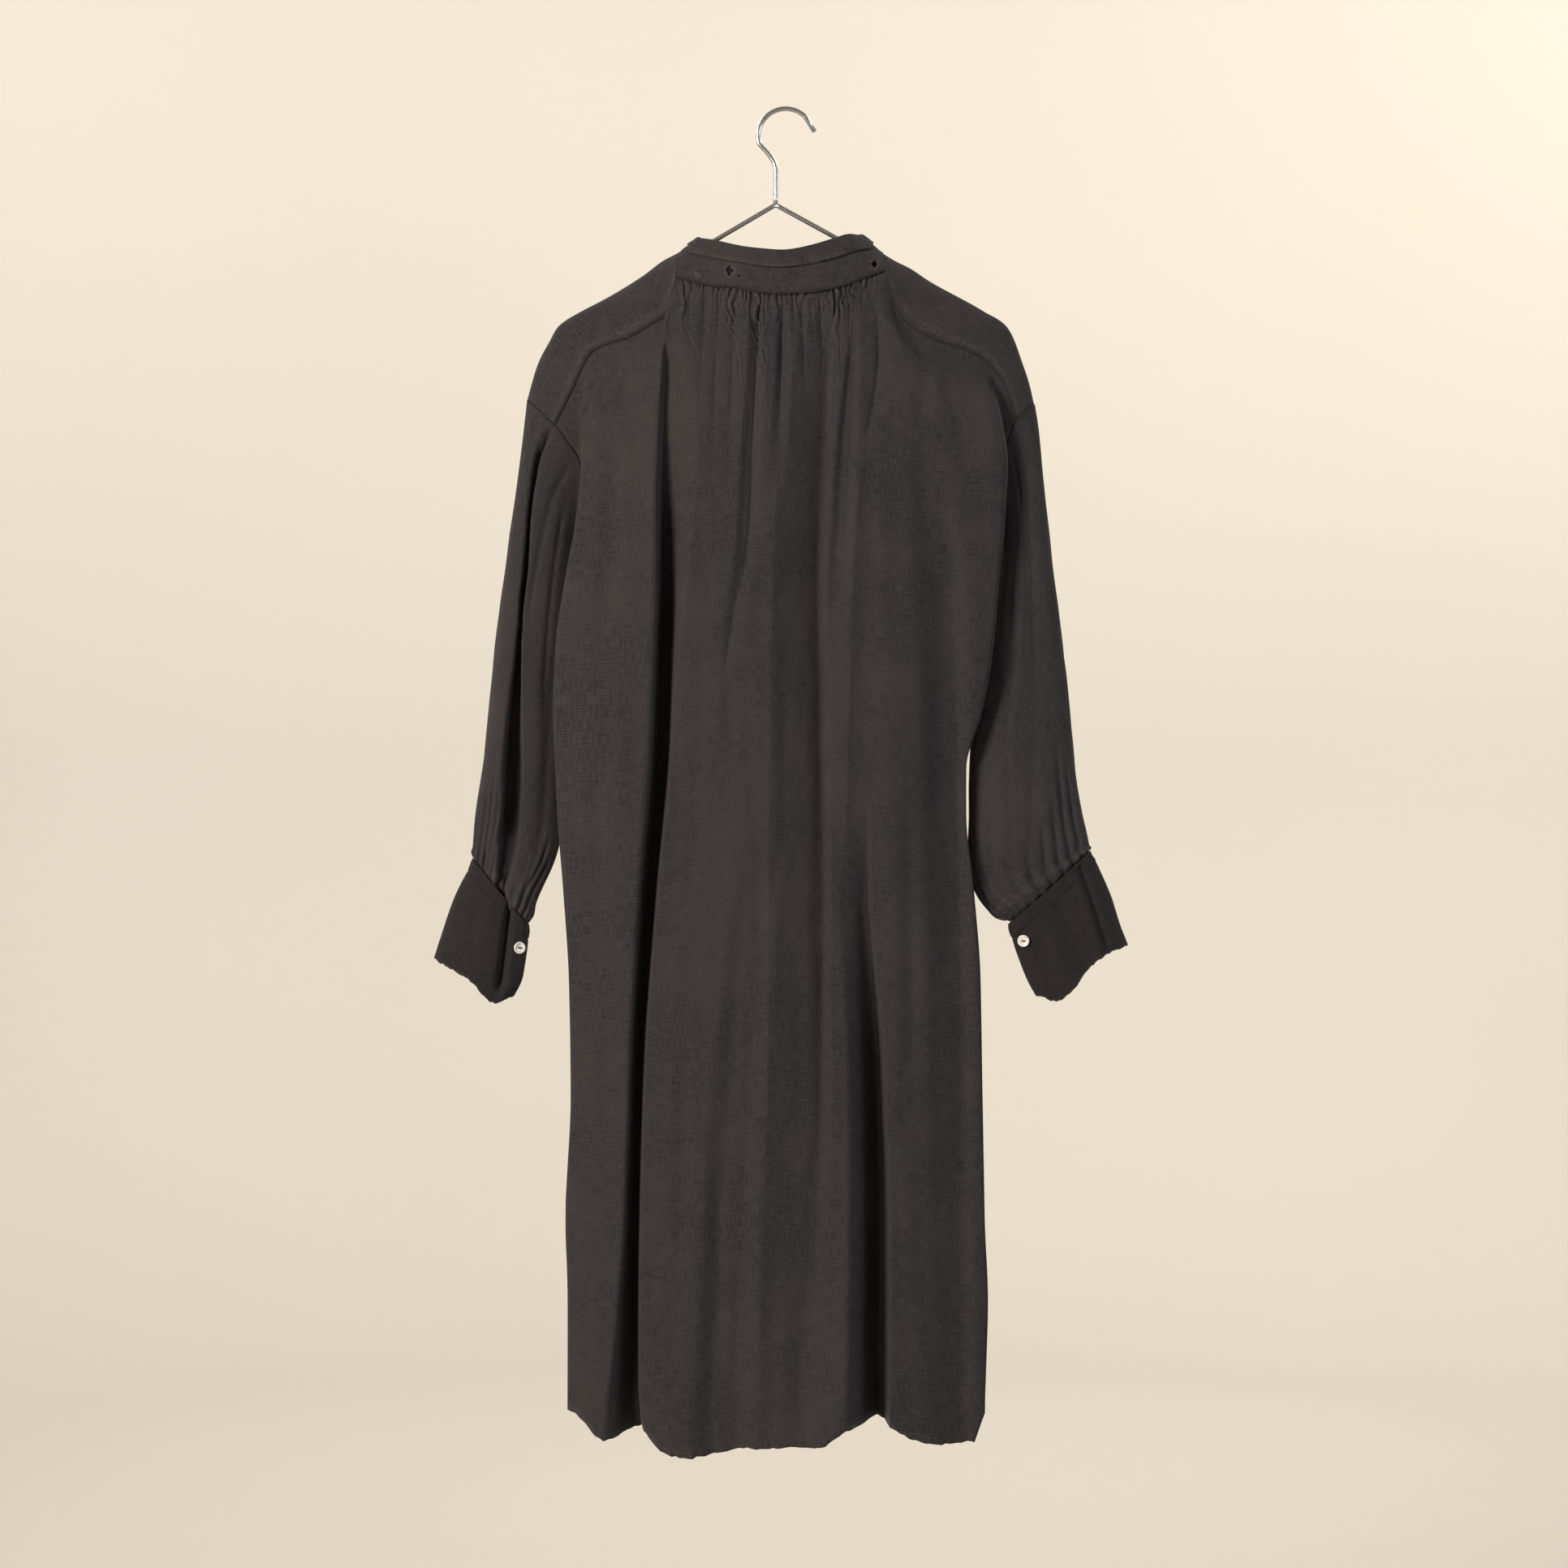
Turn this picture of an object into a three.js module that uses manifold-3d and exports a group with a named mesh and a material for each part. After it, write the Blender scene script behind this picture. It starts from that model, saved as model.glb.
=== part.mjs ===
// A smock frock of dark linen, seen from its back, that hangs on a bright wire hanger.
// Millimetres. +Z is up, the garment's back faces -Y, and its left in this view is -X.
// The origin is the inner top of the hanger's hook, where the whole thing hangs.
import * as THREE from "three";
import { mergeVertices } from "three/addons/utils/BufferGeometryUtils.js";
import Module from "manifold-3d";

const wasm = await Module();
wasm.setup();

// Driving dimensions
const clothThickness = 1.3;
const seamPull = 0.42; // each edge stands back this far from its seam line
const sidePull = 0.6; // the same at the panels' sides
const steepPull = 1.2; // added where a panel's top edge runs steeply
const bandPull = 0.65; // below the neck band, clear of the gathers
const wristPull = 0.6; // on both sides of the wrist seam, clear of its gathers
const buttonLift = 0.62; // a button's back over the cuff's middle surface, less half a wall
const wireRadius = 2.35;
const buttonDiameter = 11.5;
const buttonThickness = 2.2;
const backGathers = 36;
const frontGathers = 28;
const wristGathers = 22;
const gatherDepth = 1.05;
const pointsPerGather = 4;
const cuffSlit = 2.2; // open width at the wrist end of a cuff
const cuffFlare = 9; // more open width at its free end
const frontSlit = { top: 7, bottom: 1.2, length: 258 };

// A short table: each row gets the names of its columns.
function table(columns, rows) {
  return rows.map((row) => Object.fromEntries(columns.map((name, i) => [name, row[i]])));
}

const smooth = (t) => {
  const c = Math.min(1, Math.max(0, t));
  return c * c * (3 - 2 * c);
};
const lerp = (a, b, t) => a + (b - a) * t;

// A smooth function through one column of a table against another, flat outside its ends.
function along(rows, key, column) {
  const sorted = [...rows].sort((a, b) => a[key] - b[key]);
  const x = sorted.map((row) => row[key]);
  const y = sorted.map((row) => row[column]);
  const step = x.slice(1).map((v, i) => (y[i + 1] - y[i]) / (v - x[i]));
  const slope = x.map((_, i) => {
    const before = step[i - 1] ?? 0;
    const after = step[i] ?? 0;
    return before * after > 0 ? (2 * before * after) / (before + after) : 0;
  });
  return (at) => {
    if (at <= x[0]) return y[0];
    if (at >= x[x.length - 1]) return y[y.length - 1];
    const i = x.findIndex((v) => v > at) - 1;
    const h = x[i + 1] - x[i];
    const t = (at - x[i]) / h;
    const bend = y[i] * (1 + 2 * t) * (1 - t) ** 2 + y[i + 1] * t * t * (3 - 2 * t);
    return bend + h * (slope[i] * t * (1 - t) ** 2 - slope[i + 1] * t * t * (1 - t));
  };
}

const point = (x, y, z) => new THREE.Vector3(x, y, z);
const mix = (a, b, t) => new THREE.Vector3().lerpVectors(a, b, t);

// The outline of the body from the front: fold edges that show, and the side seams tucked behind.
const bodyOutline = table(
  ["z", "left", "right", "seamLeft", "seamRight", "depth"],
  [
    [-181, -190, 190, -221, 221, 32],
    [-240, -190, 192, -221, 221, 37],
    [-302, -194, 206, -221, 221, 41],
    [-340, -195, 211, -197, 205, 42],
    [-403, -201, 208, -192, 192, 43],
    [-441, -208, 204, -188, 187, 44],
    [-520, -219, 197, -195, 177, 44],
    [-580, -221, 186, -199, 170, 44],
    [-630, -219, 172, -200, 163, 44],
    [-673, -217, 172, -201, 163, 44],
    [-750, -211, 179, -200, 170, 44],
    [-828, -206, 185, -198, 177, 44],
    [-944, -204, 187, -197, 180, 45],
    [-1060, -209, 189, -202, 183, 45],
    [-1137, -207, 192, -200, 185, 46],
    [-1262, -207, 189, -200, 183, 46],
  ],
);
const leftFold = along(bodyOutline, "z", "left");
const rightFold = along(bodyOutline, "z", "right");
const backDepth = along(bodyOutline, "z", "depth");
const sideSeamY = 5;
const sideSeamGap = 1;

// The uneven bottom edge, from left to right.
const hem = table(
  ["x", "z"],
  [
    [-207, -1241],
    [-194, -1249],
    [-172, -1270],
    [-150, -1271],
    [-138, -1255],
    [-116, -1278],
    [-92, -1283],
    [-62, -1278],
    [-35, -1274],
    [34, -1273],
    [53, -1259],
    [82, -1250],
    [96, -1254],
    [121, -1267],
    [154, -1273],
    [180, -1271],
    [192, -1240],
  ],
);
const hemAt = along(hem, "x", "z");

// The seams of each side, from the neck corner to the armhole. The body's fold edge starts at
// the row of yokeBack that foldRow counts to.
const sides = {
  left: {
    sign: -1,
    yokeBack: table(
      ["x", "y", "z"],
      [
        [-104, -22, -163],
        [-108, -22, -181],
        [-113, -20.5, -198],
        [-127, -19, -207],
        [-149, -18, -220],
        [-177, -16, -229],
        [-190, -15, -240],
        [-204, -13, -269],
        [-221, -11, -302],
      ],
    ),
    ridge: table(
      ["x", "z"],
      [
        [-101, -136.6],
        [-120, -146.5],
        [-141, -162],
        [-169, -179],
        [-196, -193],
        [-217, -206],
        [-227, -222],
        [-238, -245],
        [-248, -278],
      ],
    ),
    frontAtNeck: point(5, 38, -5),
    frontAtArm: point(-5, 27, -2),
    armBack: table(
      ["z", "x", "y"],
      [
        [-302, -221, -11],
        [-316, -210, -10],
        [-332, -199, -7],
        [-354, -193, -3],
        [-381, -191, 2],
        [-403, -192, 5],
      ],
    ),
    armFront: table(
      ["z", "x", "y"],
      [
        [-304, -226, 16],
        [-326, -215, 17],
        [-351, -204, 15],
        [-379, -196, 11],
        [-403, -192, 5],
      ],
    ),
    seam: along(bodyOutline, "z", "seamLeft"),
  },
  right: {
    sign: 1,
    yokeBack: table(
      ["x", "y", "z"],
      [
        [94, -22, -157],
        [99, -22, -176],
        [106, -21, -194],
        [120, -19.5, -210],
        [144, -18, -223],
        [170, -16, -231],
        [192, -14, -243],
        [208, -13, -262],
        [221, -11, -296],
      ],
    ),
    ridge: table(
      ["x", "z"],
      [
        [91, -136.5],
        [105, -145],
        [120, -153],
        [137, -164],
        [164, -179],
        [190, -193],
        [213, -209],
        [228, -245],
        [239, -283],
      ],
    ),
    frontAtNeck: point(-4, 38, -6),
    frontAtArm: point(1, 27, -10),
    armBack: table(
      ["z", "x", "y"],
      [
        [-296, 221, -11],
        [-312, 214, -10],
        [-331, 207, -5],
        [-354, 199, -1],
        [-381, 193, 3],
        [-403, 192, 5],
      ],
    ),
    armFront: table(
      ["z", "x", "y"],
      [
        [-306, 222, 16],
        [-328, 214, 17],
        [-351, 204, 15],
        [-379, 196, 11],
        [-403, 192, 5],
      ],
    ),
    seam: along(bodyOutline, "z", "seamRight"),
  },
};
const underarmZ = -403;
const underarmPull = 1.3; // more room where four edges meet
const underarmReach = 3.6; // rows or ring points over which it fades

// Where a seam's shared points lie, counted in rows of its table.
const foldRow = 6;
const yokeStations = [0, 0.8, 1.6, 2.3, 3, 3.5, 4.2, 5, foldRow, 6.67, 7.33, 8];
const foldStation = yokeStations.indexOf(foldRow);
const archStops = [0, 0.2, 0.4, 0.5, 0.6, 0.8, 1]; // over the shoulder, back seam to front seam
const archSteps = archStops.length - 1;
const armholeRows = 7;

for (const side of Object.values(sides)) {
  side.backCurve = new THREE.CatmullRomCurve3(side.yokeBack.map((r) => point(r.x, r.y, r.z)));
  side.ridgeCurve = new THREE.CatmullRomCurve3(side.ridge.map((r) => point(r.x, 0, r.z)));
  const last = side.yokeBack.length - 1;
  side.seamPoint = (k) => side.backCurve.getPoint(k / last);
  side.frontSeamPoint = (k) => {
    const shift = mix(side.frontAtNeck, side.frontAtArm, k / last);
    shift.y += 3 * Math.sin((Math.PI * k) / last);
    return side.seamPoint(k).add(shift);
  };
  // the share of the back seam's length at each station places the rung on the shoulder ridge
  const lengths = [0];
  for (let i = 1; i < yokeStations.length; i++) {
    const piece = side.seamPoint(yokeStations[i]).distanceTo(side.seamPoint(yokeStations[i - 1]));
    lengths.push(lengths[i - 1] + piece);
  }
  side.rungs = yokeStations.map((k, i) => ({
    back: side.seamPoint(k),
    ridge: side.ridgeCurve.getPointAt(lengths[i] / lengths[lengths.length - 1]),
    front: side.frontSeamPoint(k),
  }));
  side.armBackX = along(side.armBack, "z", "x");
  side.armBackY = along(side.armBack, "z", "y");
  side.armFrontX = along(side.armFront, "z", "x");
  side.armFrontY = along(side.armFront, "z", "y");
}

// A point on the arch over the shoulder, from the back seam (0) to the front seam (1).
function archPoint(rung, t) {
  const chord = mix(rung.back, rung.front, t);
  const rise = rung.ridge.clone().sub(mix(rung.back, rung.front, 0.5));
  return chord.addScaledVector(rise, 1 - Math.abs(2 * t - 1) ** 2.3);
}

// Rows of points: moves the named edges in from their seams.
const plainPull = () => seamPull;

function pullBack(rows, edges, pull = plainPull) {
  const moved = rows.map((row) => row.map((p) => p.clone()));
  const end = rows.length - 1;
  const near = (v, last) => Math.min(last, Math.max(0, v));
  // inwards, square to the edge
  const shift = (i, j, i2, j2, di, dj) => {
    const width = rows[i].length - 1;
    const from = rows[near(i - di, end)][near(j - dj, width)];
    const edge = rows[near(i + di, end)][near(j + dj, width)].clone().sub(from).normalize();
    const way = rows[i2][j2].clone().sub(rows[i][j]);
    way.addScaledVector(edge, -way.dot(edge)).normalize();
    moved[i][j].addScaledVector(way, pull(i, j));
  };
  if (edges.top) rows[0].forEach((_, j) => shift(0, j, 1, j, 0, 1));
  if (edges.bottom) rows[end].forEach((_, j) => shift(end, j, end - 1, j, 0, 1));
  rows.forEach((row, i) => {
    if (edges.left) shift(i, 0, i, 1, 1, 0);
    if (edges.right) shift(i, row.length - 1, i, row.length - 2, 1, 0);
  });
  return moved;
}

const nearUnderarm = (steps) => seamPull + underarmPull * Math.exp(-((steps / underarmReach) ** 2));

// A closed wall of cloth round rows of middle points. Rows may differ in length: places says where
// each point lies along its row, and neighbouring rows are laced together by it.
function clothWall(rows, { places, ring = false, thickness = clothThickness } = {}) {
  const spot = places ?? rows.map((row) => row.map((_, j) => j / (row.length - (ring ? 0 : 1))));
  const starts = [];
  const middle = [];
  rows.forEach((row) => {
    starts.push(middle.length);
    middle.push(...row);
  });
  const faces = [];
  for (let r = 0; r + 1 < rows.length; r++) {
    const a = { at: starts[r], n: rows[r].length, spot: spot[r] };
    const b = { at: starts[r + 1], n: rows[r + 1].length, spot: spot[r + 1] };
    const id = (row, i) => row.at + (i % row.n);
    const where = (row, i) => (i < row.n ? row.spot[i] : row.spot[i - row.n] + 1);
    const endA = ring ? a.n : a.n - 1;
    const endB = ring ? b.n : b.n - 1;
    let i = 0;
    let j = 0;
    while (i < endA || j < endB) {
      const takeA = j >= endB || (i < endA && where(a, i + 1) <= where(b, j + 1) + 1e-9);
      if (takeA) {
        faces.push([id(a, i), id(b, j), id(a, i + 1)]);
        i++;
      } else {
        faces.push([id(a, i), id(b, j), id(b, j + 1)]);
        j++;
      }
    }
  }
  const normals = middle.map(() => point(0, 0, 0));
  for (const [a, b, c] of faces) {
    const ab = middle[b].clone().sub(middle[a]);
    const face = ab.cross(middle[c].clone().sub(middle[a]));
    for (const v of [a, b, c]) normals[v].add(face);
  }
  const n = middle.length;
  const position = [];
  for (const side of [0.5, -0.5])
    middle.forEach((p, v) => {
      const unit = normals[v].clone().normalize();
      position.push(...p.clone().addScaledVector(unit, side * thickness).toArray());
    });
  const index = [];
  const open = new Map();
  for (const [a, b, c] of faces) {
    index.push(a, b, c, a + n, c + n, b + n);
    for (const [p, q] of [
      [a, b],
      [b, c],
      [c, a],
    ]) {
      if (!open.delete(q + "," + p)) open.set(p + "," + q, [p, q]);
    }
  }
  for (const [p, q] of open.values()) index.push(q, p, p + n, q, p + n, q + n);
  const geometry = new THREE.BufferGeometry();
  geometry.setAttribute("position", new THREE.Float32BufferAttribute(position, 3));
  geometry.setIndex(index);
  return geometry;
}

// Joins and cuts
function solidOf(geometry) {
  const bare = geometry.clone();
  bare.deleteAttribute("normal");
  bare.deleteAttribute("uv");
  const merged = mergeVertices(bare, 1e-4);
  return new wasm.Manifold(
    new wasm.Mesh({
      numProp: 3,
      vertProperties: new Float32Array(merged.attributes.position.array),
      triVerts: new Uint32Array(merged.index.array),
    }),
  );
}

function geometryOf(solid) {
  const mesh = solid.getMesh();
  const geometry = new THREE.BufferGeometry();
  geometry.setAttribute("position", new THREE.BufferAttribute(mesh.vertProperties.slice(), 3));
  geometry.setIndex(new THREE.BufferAttribute(mesh.triVerts.slice(), 1));
  return geometry;
}

// A prism along Y with the given outline in X and Z.
function prismAlongY(outline, yFrom, yTo) {
  const shape = new THREE.Shape(outline.map(([x, z]) => new THREE.Vector2(x, z)));
  const prism = new THREE.ExtrudeGeometry(shape, { depth: yTo - yFrom, bevelEnabled: false });
  prism.rotateX(Math.PI / 2);
  return prism.translate(0, yTo, 0);
}

// Neck: the seam line and the top of the band, in four stretches that share the yokes' points.
const neckBack = table(
  ["x", "y", "z", "topX", "topY", "topZ"],
  [
    [-104, -22, -163, -83, -12, -129],
    [-74, -27, -172, -67, -19, -133],
    [-46, -30, -175, -44, -24, -139],
    [-25, -31, -180, -24, -26, -142],
    [0, -31, -181, 0, -27, -143.5],
    [28, -31, -179, 24, -26, -139],
    [54, -29, -173, 46, -23, -132],
    [76, -26, -164, 60, -19, -127],
    [94, -22, -157, 71, -12, -126],
  ],
);
const neckFront = table(
  ["x", "y", "z", "topX", "topY", "topZ"],
  [
    [-99, 16, -168, -80, 12, -137],
    [-84, 20, -181, -70, 17, -148],
    [-52, 24, -198, -44, 21, -162],
    [-26, 26, -208, -22, 23, -171],
    [0, 26, -212, 0, 24, -175],
    [26, 26, -208, 22, 23, -171],
    [50, 24, -197, 42, 21, -161],
    [78, 20, -177, 64, 17, -146],
    [90, 16, -163, 72, 12, -135],
  ],
);
const neckSides = { left: { x: -86, z: -127.5 }, right: { x: 77, z: -125.5 } };
const neckBackSteps = 14;
const neckFrontSteps = 7; // on each side of the front opening
const frontOpening = 3.4; // half the gap between the band's ends

function neckCurve(rows, top) {
  const at = (r) => (top ? point(r.topX, r.topY, r.topZ) : point(r.x, r.y, r.z));
  return new THREE.CatmullRomCurve3(rows.map(at));
}

// One loop round the neck, from the front opening by the left side and back to it by the right.
function neckLoop(top) {
  const back = neckCurve(neckBack, top);
  const front = neckCurve(neckFront, top);
  const sideArch = (name) => {
    if (!top) return sides[name].rungs[0];
    const end = name === "left" ? 0 : neckBack.length - 1;
    const ridge = point(neckSides[name].x, 0, neckSides[name].z);
    const b = neckBack[end];
    const f = neckFront[end];
    return { back: point(b.topX, b.topY, b.topZ), ridge, front: point(f.topX, f.topY, f.topZ) };
  };
  const loop = [];
  const halfFront = (from, to) => {
    for (let i = 0; i <= neckFrontSteps; i++) {
      loop.push(front.getPoint(lerp(from, to, i / neckFrontSteps)));
    }
  };
  const gap = frontOpening / (2 * neckFront[neckFront.length - 1].x);
  halfFront(0.5 - gap, 0);
  for (let i = archSteps - 1; i >= 0; i--) loop.push(archPoint(sideArch("left"), archStops[i]));
  for (let i = 1; i <= neckBackSteps; i++) loop.push(back.getPoint(i / neckBackSteps));
  for (let i = 1; i < archSteps; i++) loop.push(archPoint(sideArch("right"), archStops[i]));
  halfFront(1, 0.5 + gap);
  return loop;
}

const seamLoop = neckLoop(false);
const topLoop = neckLoop(true);
const bandRows = 4;

function neckBandRows() {
  return Array.from({ length: bandRows + 1 }, (_, r) => {
    const t = r / bandRows;
    const puff = 1.2 * Math.sin(Math.PI * t);
    return topLoop.map((p, i) => {
      const q = mix(p, seamLoop[i], t);
      const out = point(q.x, q.y * 1.5, 0).normalize();
      return q.addScaledVector(out, puff);
    });
  });
}

// The strip that rolls over the band's top and falls down its outside.
const collarProfile = table(
  ["rise", "out", "down"],
  [
    [0.9, 0, 0],
    [3.0, 0.1, 0],
    [4.1, 1.1, 0],
    [3.0, 2.1, 0],
    [0, 2.3, 0.06],
    [0, 2.2, 0.34],
  ],
);

function collarRows() {
  const outward = topLoop.map((p, i) => {
    const before = topLoop[Math.max(0, i - 1)];
    const after = topLoop[Math.min(topLoop.length - 1, i + 1)];
    const run = after.clone().sub(before);
    const fall = seamLoop[i].clone().sub(p);
    return fall.cross(run).normalize();
  });
  const bandAt = (i, t) => {
    const rows = bandSurface;
    const place = t * bandRows;
    const r = Math.min(Math.floor(place), bandRows - 1);
    return mix(rows[r][i], rows[r + 1][i], place - r);
  };
  return collarProfile.map(({ rise, out, down }) =>
    topLoop.map((p, i) => {
      const up = p.clone().sub(seamLoop[i]).normalize();
      const q = bandAt(i, down);
      return q.addScaledVector(up, rise).addScaledVector(outward[i], out);
    }),
  );
}
const bandSurface = neckBandRows();

// Folds of the back: valleys with steep or soft walls, each given at a few heights.
const foldColumns = ["z", "x", "depth", "half", "wallLeft", "wallRight"];
const backFolds = {
  leftDeep: table(foldColumns, [
    [-163, -98, 0, 3, 4, 4],
    [-211, -110, 5, 2, 4, 10],
    [-250, -112, 8, 2, 4, 20],
    [-304, -114, 14, 2, 4, 30],
    [-365, -115, 22, 3, 4, 28],
    [-442, -115, 29, 3, 5, 20],
    [-520, -116, 32, 4, 5, 12],
    [-596, -117, 32, 5, 6, 6],
    [-750, -128, 32, 3.5, 8, 4],
    [-842, -135, 32, 3, 7, 4],
    [-903, -138.5, 32, 2.5, 7, 4],
    [-1057, -142.5, 31, 2, 9, 4],
    [-1150, -143.5, 31, 2, 15, 4],
    [-1211, -143.5, 31, 2, 22, 4],
    [-1284, -140, 31, 3, 30, 5],
  ]),
  middle: table(foldColumns, [
    [-183, 38, 1, 2, 6, 4],
    [-234, 39, 7, 2, 26, 5],
    [-334, 35.5, 14, 2, 40, 5],
    [-457, 31, 17, 2, 41, 5],
    [-557, 32.5, 17, 2, 45, 6],
    [-712, 34, 16, 2, 48, 6],
    [-903, 33, 13, 2, 48, 8],
    [-1057, 27, 10, 3, 44, 12],
    [-1284, 16, 6, 4, 38, 16],
  ]),
  rightDeep: table(foldColumns, [
    [-181, 62, 0, 3, 4, 4],
    [-657, 74, 0, 2, 12, 4],
    [-700, 75, 4, 2, 20, 4],
    [-750, 76, 10, 2, 24, 4],
    [-827, 82, 19, 2, 26, 4],
    [-903, 88, 28, 2, 29, 4],
    [-1057, 92, 34, 3, 30, 4],
    [-1284, 91, 35, 4, 30, 4],
  ]),
  rightFan: table(foldColumns, [
    [-200, 66, 1, 1, 4, 4],
    [-260, 62, 4, 2, 6, 6],
    [-334, 57, 5, 3, 8, 8],
    [-427, 52, 3, 3, 9, 9],
    [-520, 47, 0, 3, 9, 9],
  ]),
  rightSoft: table(foldColumns, [
    [-300, 136, 0, 3, 24, 18],
    [-442, 150, 8, 3, 30, 18],
    [-557, 158, 12, 3, 34, 16],
    [-700, 160, 12, 3, 34, 14],
    [-903, 164, 5, 3, 30, 14],
  ]),
  centre: table(foldColumns, [
    [-183, -2, 2, 1, 5, 5],
    [-242, -2, 4, 1, 7, 7],
    [-304, -5, 3, 1, 9, 9],
    [-380, -8, 0, 1, 9, 9],
  ]),
  centreLeft: table(foldColumns, [
    [-183, -28, 2, 1, 5, 5],
    [-242, -29, 4, 1, 8, 8],
    [-334, -33, 4, 2, 9, 9],
    [-427, -39, 3, 2, 9, 9],
    [-527, -52, 0, 2, 9, 9],
  ]),
  leftSoft: table(foldColumns, [
    [-300, -162, 0, 2, 10, 10],
    [-404, -166, 4, 2, 12, 12],
    [-473, -169, 3, 2, 12, 12],
    [-560, -175, 0, 2, 12, 12],
  ]),
  lowerLeft: table(foldColumns, [
    [-673, -24, 0, 6, 20, 20],
    [-788, -33, 4, 6, 20, 20],
    [-1019, -49, 6, 8, 22, 22],
    [-1284, -60, 8, 8, 24, 24],
  ]),
};
const frontFolds = {
  left: table(foldColumns, [
    [-230, -70, 2, 2, 9, 9],
    [-420, -84, 6, 4, 14, 14],
    [-800, -104, 9, 6, 18, 18],
    [-1284, -112, 10, 8, 20, 20],
  ]),
  centreLeft: table(foldColumns, [
    [-440, -12, 0, 2, 12, 12],
    [-620, -16, 6, 4, 16, 16],
    [-1284, -30, 8, 6, 20, 20],
  ]),
  right: table(foldColumns, [
    [-230, 62, 2, 2, 9, 9],
    [-420, 70, 5, 4, 14, 14],
    [-800, 78, 8, 6, 18, 18],
    [-1284, 88, 10, 8, 20, 20],
  ]),
  farRight: table(foldColumns, [
    [-380, 132, 0, 2, 12, 12],
    [-560, 136, 5, 4, 15, 15],
    [-1284, 140, 6, 6, 18, 18],
  ]),
};

function foldFunctions(folds) {
  const read = (rows) =>
    Object.fromEntries(foldColumns.slice(1).map((name) => [name, along(rows, "z", name)]));
  return Object.fromEntries(Object.entries(folds).map(([name, rows]) => [name, read(rows)]));
}
const backFold = foldFunctions(backFolds);
const frontFold = foldFunctions(frontFolds);

function valleyDepth(folds, x, z) {
  let sum = 0;
  for (const fold of Object.values(folds)) {
    const centre = fold.x(z);
    const half = fold.half(z);
    const into = smooth((x - (centre - half - fold.wallLeft(z))) / fold.wallLeft(z));
    const outOf = smooth((x - (centre + half)) / fold.wallRight(z));
    sum += fold.depth(z) * (into - outOf);
  }
  return sum;
}

function backY(x, z) {
  const middle = (leftFold(z) + rightFold(z)) / 2;
  const reach = (rightFold(z) - leftFold(z)) / 2;
  const crown = 1 - 0.45 * Math.min(1, Math.abs((x - middle) / reach)) ** 3;
  return Math.min(-8.5, -backDepth(z) * crown + valleyDepth(backFold, x, z));
}

// The columns of the back: where each stands at a height, from the left fold edge to the right one.
function backColumns() {
  const deep = backFold.leftDeep;
  const late = backFold.rightDeep;
  const corners = (fold) => [
    (z) => fold.x(z) - fold.half(z) - fold.wallLeft(z),
    (z) => fold.x(z) - fold.half(z),
    (z) => fold.x(z),
    (z) => fold.x(z) + fold.half(z),
    (z) => fold.x(z) + fold.half(z) + fold.wallRight(z),
  ];
  const between = (from, to, count) =>
    Array.from({ length: count - 1 }, (_, i) => (z) => lerp(from(z), to(z), (i + 1) / count));
  const first = corners(deep);
  const second = corners(late);
  const keel = (z) => lerp(second[4](z), rightFold(z), 0.16);
  const outer = foldStation;
  const columns = [leftFold, ...between(leftFold, first[0], outer - 4), ...first];
  columns.push(...between(first[4], backFold.middle.x, 11), backFold.middle.x);
  columns.push(...between(backFold.middle.x, second[0], 4), ...second);
  const rightCorner = columns.length;
  columns.push(keel, ...between(keel, rightFold, outer), rightFold);
  return { columns, leftCorner: outer, rightCorner };
}

const rowDrops = [0, 11, 24, 50, 85, 125, 170, 215]; // below the top seam, down to the underarm
const rowsBelow = { back: 16, front: 11 };

// The height of row i in a column that runs from top to bottom.
function rowHeight(i, top, bottom, below) {
  if (i < rowDrops.length) return top - rowDrops[i];
  const start = top - rowDrops[rowDrops.length - 1];
  return lerp(start, bottom, (i - rowDrops.length + 1) / below);
}

// The height of row i on a side edge: the armhole first, then the side seam.
function edgeHeight(i, join, bottom, below) {
  if (i <= armholeRows) return lerp(join, underarmZ, i / armholeRows);
  return lerp(underarmZ, bottom, (i - armholeRows) / below);
}
const rowCount = (face) => rowDrops.length + rowsBelow[face];

function sideEdgePoint(side, face, i) {
  const arm = face === "back" ? side.armBack : side.armFront;
  const bottom = hemAt(side.seam(-1250)) - 1;
  const z = edgeHeight(i, arm[0].z, bottom, rowsBelow[face]);
  const apart = sideSeamGap * Math.min(1, (underarmZ - z) / 30) * (face === "back" ? -0.5 : 0.5);
  if (z < underarmZ) return point(side.seam(z), sideSeamY + apart, z);
  const x = face === "back" ? side.armBackX(z) : side.armFrontX(z);
  const y = face === "back" ? side.armBackY(z) : side.armFrontY(z);
  return point(x, y, z);
}

const neckBackCurve = neckCurve(neckBack, false);
const neckFrontCurve = neckCurve(neckFront, false);

function curveAtX(curve, x) {
  let low = 0;
  let high = 1;
  for (let i = 0; i < 30; i++) {
    const mid = (low + high) / 2;
    if (curve.getPoint(mid).x < x) low = mid;
    else high = mid;
  }
  return curve.getPoint((low + high) / 2);
}

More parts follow.
